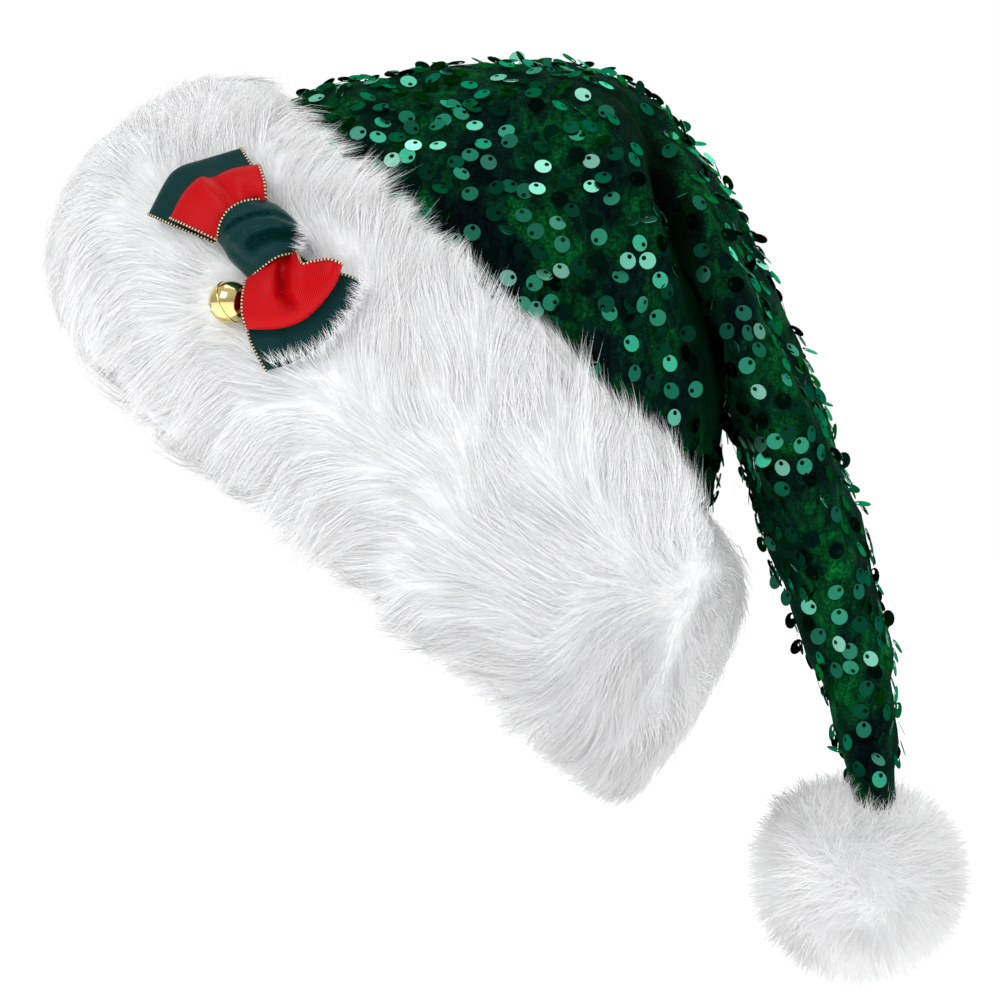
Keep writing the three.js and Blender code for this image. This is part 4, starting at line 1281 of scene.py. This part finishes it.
def makeBowTips():
    rng = np.random.default_rng(55)
    roots, tips = [], []
    for row in bowTips:
        count = row["count"]
        start = smoothCurve(row["along"], rng.random(count)) + rng.normal(0, 0.6, (count, 2))
        turn = rng.normal(0, 0.25, count) + 0.3 * np.sin(start[:, 0] * 1.9)
        way = np.array(row["way"]) / np.hypot(*row["way"])
        turned = np.stack(
            [
                way[0] * np.cos(turn) - way[1] * np.sin(turn),
                way[0] * np.sin(turn) + way[1] * np.cos(turn),
            ],
            axis=1,
        )
        end = start + turned * (row["length"] * rng.uniform(0.5, 1.1, count))[:, None]
        roots.append(bowPoints(start, np.full(count, row["low"])))
        tips.append(bowPoints(end, row["high"] * rng.uniform(0.95, 1.15, count)))
    roots, tips = np.concatenate(roots), np.concatenate(tips)
    count = len(roots)
    lengths = np.linalg.norm(tips - roots, axis=1)
    straight = unit(tips - roots)
    starts = unit(straight + np.array([0, -0.35, 0]))
    ends = unit(straight + np.array([0, 0.35, 0]))
    widths = fur["width"] * rng.uniform(0.6, 1.0, count)
    shapes = hairShapes(roots, starts, ends, lengths, widths, [(0.45, 1.0)])
    normals = np.tile(bowOut, (count, 1))
    hairPiece("bowFurTips", shapes, 1, rng.normal(0.7, 0.1, count), normals, 0.7, whiteFur)


makeBowTips()
print("fur tips over the bow made")


# Pompom: a soft ball under hairs that stand out all round
pompom = {
    "hairs": 22000,
    "length": 19 * mm,
    "width": 0.24 * mm,
    "core": 0.76,  # of the ball's size, under the hairs
    "softness": 0.94,
    "dimple": 9 * mm,  # depth of the hollow that the tail ends in
    "dimpleWidth": 15 * mm,
    "swirl": 0.35,  # how far the hairs lean round the ball
    "stray": 0.4,  # how far they stray at the root, and at the tip
    "tipStray": 0.7,
    "apart": 1.6,  # how far those round the tail's end lean away from it
    # painted light: the pompom's hair glows white, lifting its shade
    "glow": 0.24,
}


def makePompom():
    low, high = (np.array(corner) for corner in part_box("pompom"))
    centre, size = (low + high) / 2, high - low
    deselectAll()
    bpy.ops.mesh.primitive_uv_sphere_add(segments=40, ring_count=24, radius=0.5, location=centre)
    core = bpy.context.active_object
    core.name = "pompomCore"
    core.scale = size * pompom["core"]
    applyPlace(core)
    points, normals = meshPoints(core), vertexNormals(core)
    points += normals * (softNoise(points, 0.02, 61) * 1.2 * mm)[:, None]
    tail = meshPoints(cadNodes["crown"])
    tip = tail[tail[:, 2].argmin()] + np.array([0, -10, 6]) * mm
    near = np.exp(-((np.linalg.norm(points - tip, axis=1) / pompom["dimpleWidth"]) ** 2))
    points -= normals * (near * pompom["dimple"])[:, None]
    movePoints(core, points)
    shadeSmooth(core)
    core.data.materials.append(bpy.data.materials["furBase"])
    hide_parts("pompom")
    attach(core, "root")
    rng = np.random.default_rng(62)
    count = pompom["hairs"]
    roots, normals = scatterOn(core, count, rng)
    swirl = unit(np.cross(normals, np.array([0.3, 0.2, 1.0])))
    lean = pompom["swirl"] * softNoise(roots, 0.05, 63)
    droop = np.array([0, 0, -0.25])
    stray = unit(rng.normal(size=(count, 3)))
    fromTip = roots - tip
    near = np.exp(-((np.linalg.norm(fromTip, axis=1) / pompom["dimpleWidth"]) ** 2))
    apart = pompom["apart"] * near[:, None] * unit(fromTip - np.array([0, 0, 4 * mm]))
    start = unit(normals + pompom["stray"] * stray + lean[:, None] * swirl + apart)
    end = normals + pompom["tipStray"] * stray + (lean * 2)[:, None] * swirl + droop + apart
    end = unit(end)
    lengths = pompom["length"] * rng.uniform(0.55, 1.05, count) * (1 - 0.35 * near)
    widths = pompom["width"] * rng.uniform(0.6, 1.2, count)
    shapes = hairShapes(roots - normals * mm, start, end, lengths, widths, [(0.45, 1.0)])
    tonesAndPaintedLight = 0.6 + 0.1 * softNoise(roots, 0.012, 64) + rng.normal(0, 0.1, count)
    pile = furMaterial("pompomFur", pompom["glow"])
    hairPiece("pompomHair", shapes, 1, tonesAndPaintedLight, normals, pompom["softness"], pile)


makePompom()
print("pompom made")


# Sequins: flat discs with a hole near the rim, each sewn on by its hole
sequin = {
    "radius": 3.0 * mm,
    "hole": 0.9 * mm,
    "holeOffset": 1.6 * mm,
    "thickness": 0.14 * mm,
    "sides": 14,
    "room": 72 * mm**2,  # of velvet for each sequin
    "spacing": 5.7 * mm,
    "closest": 3.6 * mm,  # of the few that overlap
    "overlapping": 0.12,  # the share of those few
    "creased": 0.45,  # depth of the crease from which there are none
    "turned": 1.3,  # how far the discs turn from hanging straight down
    "raised": (5, 13),  # degrees that the far side stands off, and their spread
    "proud": 0.1,  # the share that stands well off, by these degrees
    "proudRaised": (30, 65),
    "roll": 9,  # degrees
    "stand": (0.7, 1.3),  # millimetres off the velvet
}


def sequinShape():
    deselectAll()
    bpy.ops.mesh.primitive_circle_add(vertices=sequin["sides"], radius=sequin["radius"])
    rim = bpy.context.active_object
    deselectAll()
    bpy.ops.mesh.primitive_circle_add(
        vertices=sequin["sides"] // 2,
        radius=sequin["hole"],
        location=(sequin["holeOffset"], 0, 0),
    )
    hole = bpy.context.active_object
    applyPlace(hole)
    disc = joinPieces([rim, hole], "sequinShape")
    editAll(disc, bpy.ops.mesh.bridge_edge_loops)
    editAll(disc, bpy.ops.mesh.normals_make_consistent, inside=False)
    applyModifier(disc, "SOLIDIFY", thickness=sequin["thickness"], offset=0)
    editAll(disc, bpy.ops.mesh.quads_convert_to_tris)
    points = meshPoints(disc)
    faces = np.array([list(f.vertices) for f in disc.data.polygons])
    bpy.data.objects.remove(disc)
    return points, faces


def sequinMaterial():
    material, tree, shader = newMaterial("greenSequin", roughness=0.28, metallic=1.0)
    shader.inputs["Specular Tint"].default_value = (0.12, 0.6, 0.38, 1)
    tone = addNode(tree, "Attribute", attribute_name="tone")
    # painted reflection and painted shade: one green, from near-black as if turned from the light to
    # bright mint as if catching it
    colour = addRamp(
        tree,
        tone.outputs["Fac"],
        [
            (0.0, (0.0006, 0.004, 0.004)),
            (0.2, (0.001, 0.009, 0.007)),
            (0.27, (0.0015, 0.035, 0.018)),
            (0.46, (0.004, 0.075, 0.042)),
            (0.54, (0.014, 0.15, 0.09)),
            (0.84, (0.026, 0.22, 0.135)),
            (0.91, (0.1, 0.4, 0.28)),
            (1.0, (0.3, 0.72, 0.56)),
        ],
    )
    tree.links.new(colour, shader.inputs["Base Color"])
    return material


def makeSequins():
    rng = np.random.default_rng(71)
    area = sum(f.area for f, out in zip(crown.data.polygons, velvetSide) if out)
    most = int(area / sequin["room"])
    places, normals = scatterOn(crown, most * 9, rng, velvetSide)
    creased = creaseShare(places) > sequin["creased"]
    furTree, ballTree = treeOf(cadNodes["cuff_fur"]), treeOf(cadNodes["pompom"])
    chosen = []
    for i, place in enumerate(places):
        if len(chosen) >= most:
            break
        point = Vector(place)
        if creased[i] or furTree.find_nearest(point)[3] < 1 * mm:
            continue
        if ballTree.find_nearest(point)[3] < 2 * mm:
            continue
        gap = sequin["closest"] if rng.random() < sequin["overlapping"] else sequin["spacing"]
        if chosen and np.linalg.norm(places[chosen] - place, axis=1).min() < gap:
            continue
        chosen.append(i)
    places, normals = places[chosen], normals[chosen]
    count = len(chosen)
    shape, faces = sequinShape()
    # a disc hangs from its hole, so it tips about the hole with its far side raised
    down = np.array([-0.2, 0, -1.0]) + sequin["turned"] * unit(rng.normal(size=(count, 3)))
    flat = unit(down - (down * normals).sum(axis=1)[:, None] * normals)
    raised = np.radians(np.abs(rng.normal(*sequin["raised"], count)))
    proud = rng.random(count) < sequin["proud"]
    raised[proud] = np.radians(rng.uniform(*sequin["proudRaised"], proud.sum()))
    away = flat * np.cos(raised)[:, None] + normals * np.sin(raised)[:, None]
    side = np.cross(normals, flat)
    roll = np.radians(rng.normal(0, sequin["roll"], count))
    up = np.cross(away, side)
    up = unit(up * np.sign((up * normals).sum(axis=1))[:, None])
    side, up = (
        side * np.cos(roll)[:, None] + up * np.sin(roll)[:, None],
        up * np.cos(roll)[:, None] - side * np.sin(roll)[:, None],
    )
    fromHole = shape - np.array([sequin["holeOffset"], 0, 0])
    fromHole[:, 0] *= -1
    stand = rng.uniform(*sequin["stand"], count) * mm
    points = (
        (places + normals * stand[:, None])[:, None]
        + fromHole[None, :, 0:1] * away[:, None]
        + fromHole[None, :, 1:2] * side[:, None]
        + fromHole[None, :, 2:3] * up[:, None]
    )
    handed = np.sign((np.cross(away, side) * up).sum(axis=1))
    allFaces = []
    for i in range(count):
        turned = faces if handed[i] < 0 else faces[:, ::-1]
        allFaces.append(turned + i * len(shape))
    # painted reflection and shade: a random place on that ramp for each disc, a little lighter or darker
    # by where it lies
    tonesAndPaintedLight = np.clip(rng.random(count) + 0.12 * softNoise(places, 0.05, 73), 0, 1)
    piece = meshFromArrays(
        "sequins", points.reshape(-1, 3), np.concatenate(allFaces), np.repeat(tonesAndPaintedLight, len(shape))
    )
    shadeSmooth(piece, 40)
    piece.data.materials.append(sequinMaterial())
    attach(piece, "root")
    return piece, count


sequins, sequinCount = makeSequins()
print("sequins made,", sequinCount, "of them,", len(sequins.data.polygons), "faces")


# Stage: pale floor, white surround and soft lights
stage = {
    "floor": -0.17,
    "radius": 14,
    "glow": 0.6,  # keeps the floor as pale as the surround
    "surround": 0.62,
    "lights": (
        ("keyLight", (-1.0, -1.3, 1.2), 1.0, 12.5),
        ("rightLight", (1.4, -0.9, 0.5), 0.8, 5),
        ("topLight", (0.1, 0.2, 1.6), 1.2, 7),
        ("backLight", (0.6, 1.4, 0.8), 1.2, 6),
    ),
}


def addFloor():
    deselectAll()
    bpy.ops.mesh.primitive_circle_add(
        vertices=96, radius=stage["radius"], fill_type="NGON", location=(0.05, 0, stage["floor"])
    )
    floor = bpy.context.active_object
    floor.name = "floor"
    material, tree, shader = newMaterial("paleFloor", roughness=0.9)
    shader.inputs["Base Color"].default_value = (0.93, 0.93, 0.93, 1)
    shader.inputs["Emission Color"].default_value = (1, 1, 1, 1)
    shader.inputs["Emission Strength"].default_value = stage["glow"]
    floor.data.materials.append(material)


def addSurround():
    # soft white all round, a little darker low down, and plain white behind the hat
    world = bpy.data.worlds.new("studio")
    world.use_nodes = True
    bpy.context.scene.world = world
    tree = world.node_tree
    surround = tree.nodes["Background"]
    surround.inputs["Strength"].default_value = stage["surround"]
    coordinates = addNode(tree, "TexCoord")
    split = addNode(tree, "SeparateXYZ")
    tree.links.new(coordinates.outputs["Generated"], split.inputs["Vector"])
    sky = addRamp(tree, split.outputs["Z"], [(0.0, (0.62, 0.66, 0.7)), (0.7, (1.0, 1.0, 1.0))])
    tree.links.new(sky, surround.inputs["Color"])
    white = addNode(tree, "Background")
    white.inputs["Color"].default_value = (1, 1, 1, 1)
    white.inputs["Strength"].default_value = 1.0
    path = addNode(tree, "LightPath")
    mix = addNode(tree, "MixShader")
    tree.links.new(path.outputs["Is Camera Ray"], mix.inputs["Fac"])
    tree.links.new(surround.outputs["Background"], mix.inputs[1])
    tree.links.new(white.outputs["Background"], mix.inputs[2])
    tree.links.new(mix.outputs["Shader"], tree.nodes["World Output"].inputs["Surface"])


def addLights():
    for name, place, size, power in stage["lights"]:
        deselectAll()
        bpy.ops.object.light_add(type="AREA", location=place)
        lamp = bpy.context.active_object
        lamp.name = name
        lamp.data.size = size
        lamp.data.energy = power
        aim = Vector((0.05, 0, 0.03)) - Vector(place)
        lamp.rotation_euler = aim.to_track_quat("-Z", "Y").to_euler()


addFloor()
addSurround()
addLights()
bpy.context.scene.view_settings.view_transform = "Standard"
print("stage set")


def countTriangles():
    total = 0
    for piece in bpy.data.objects:
        if piece.type == "MESH" and not piece.hide_render and piece.name != "floor":
            piece.data.calc_loop_triangles()
            total += len(piece.data.loop_triangles)
    return total


print("triangles in all:", countTriangles())
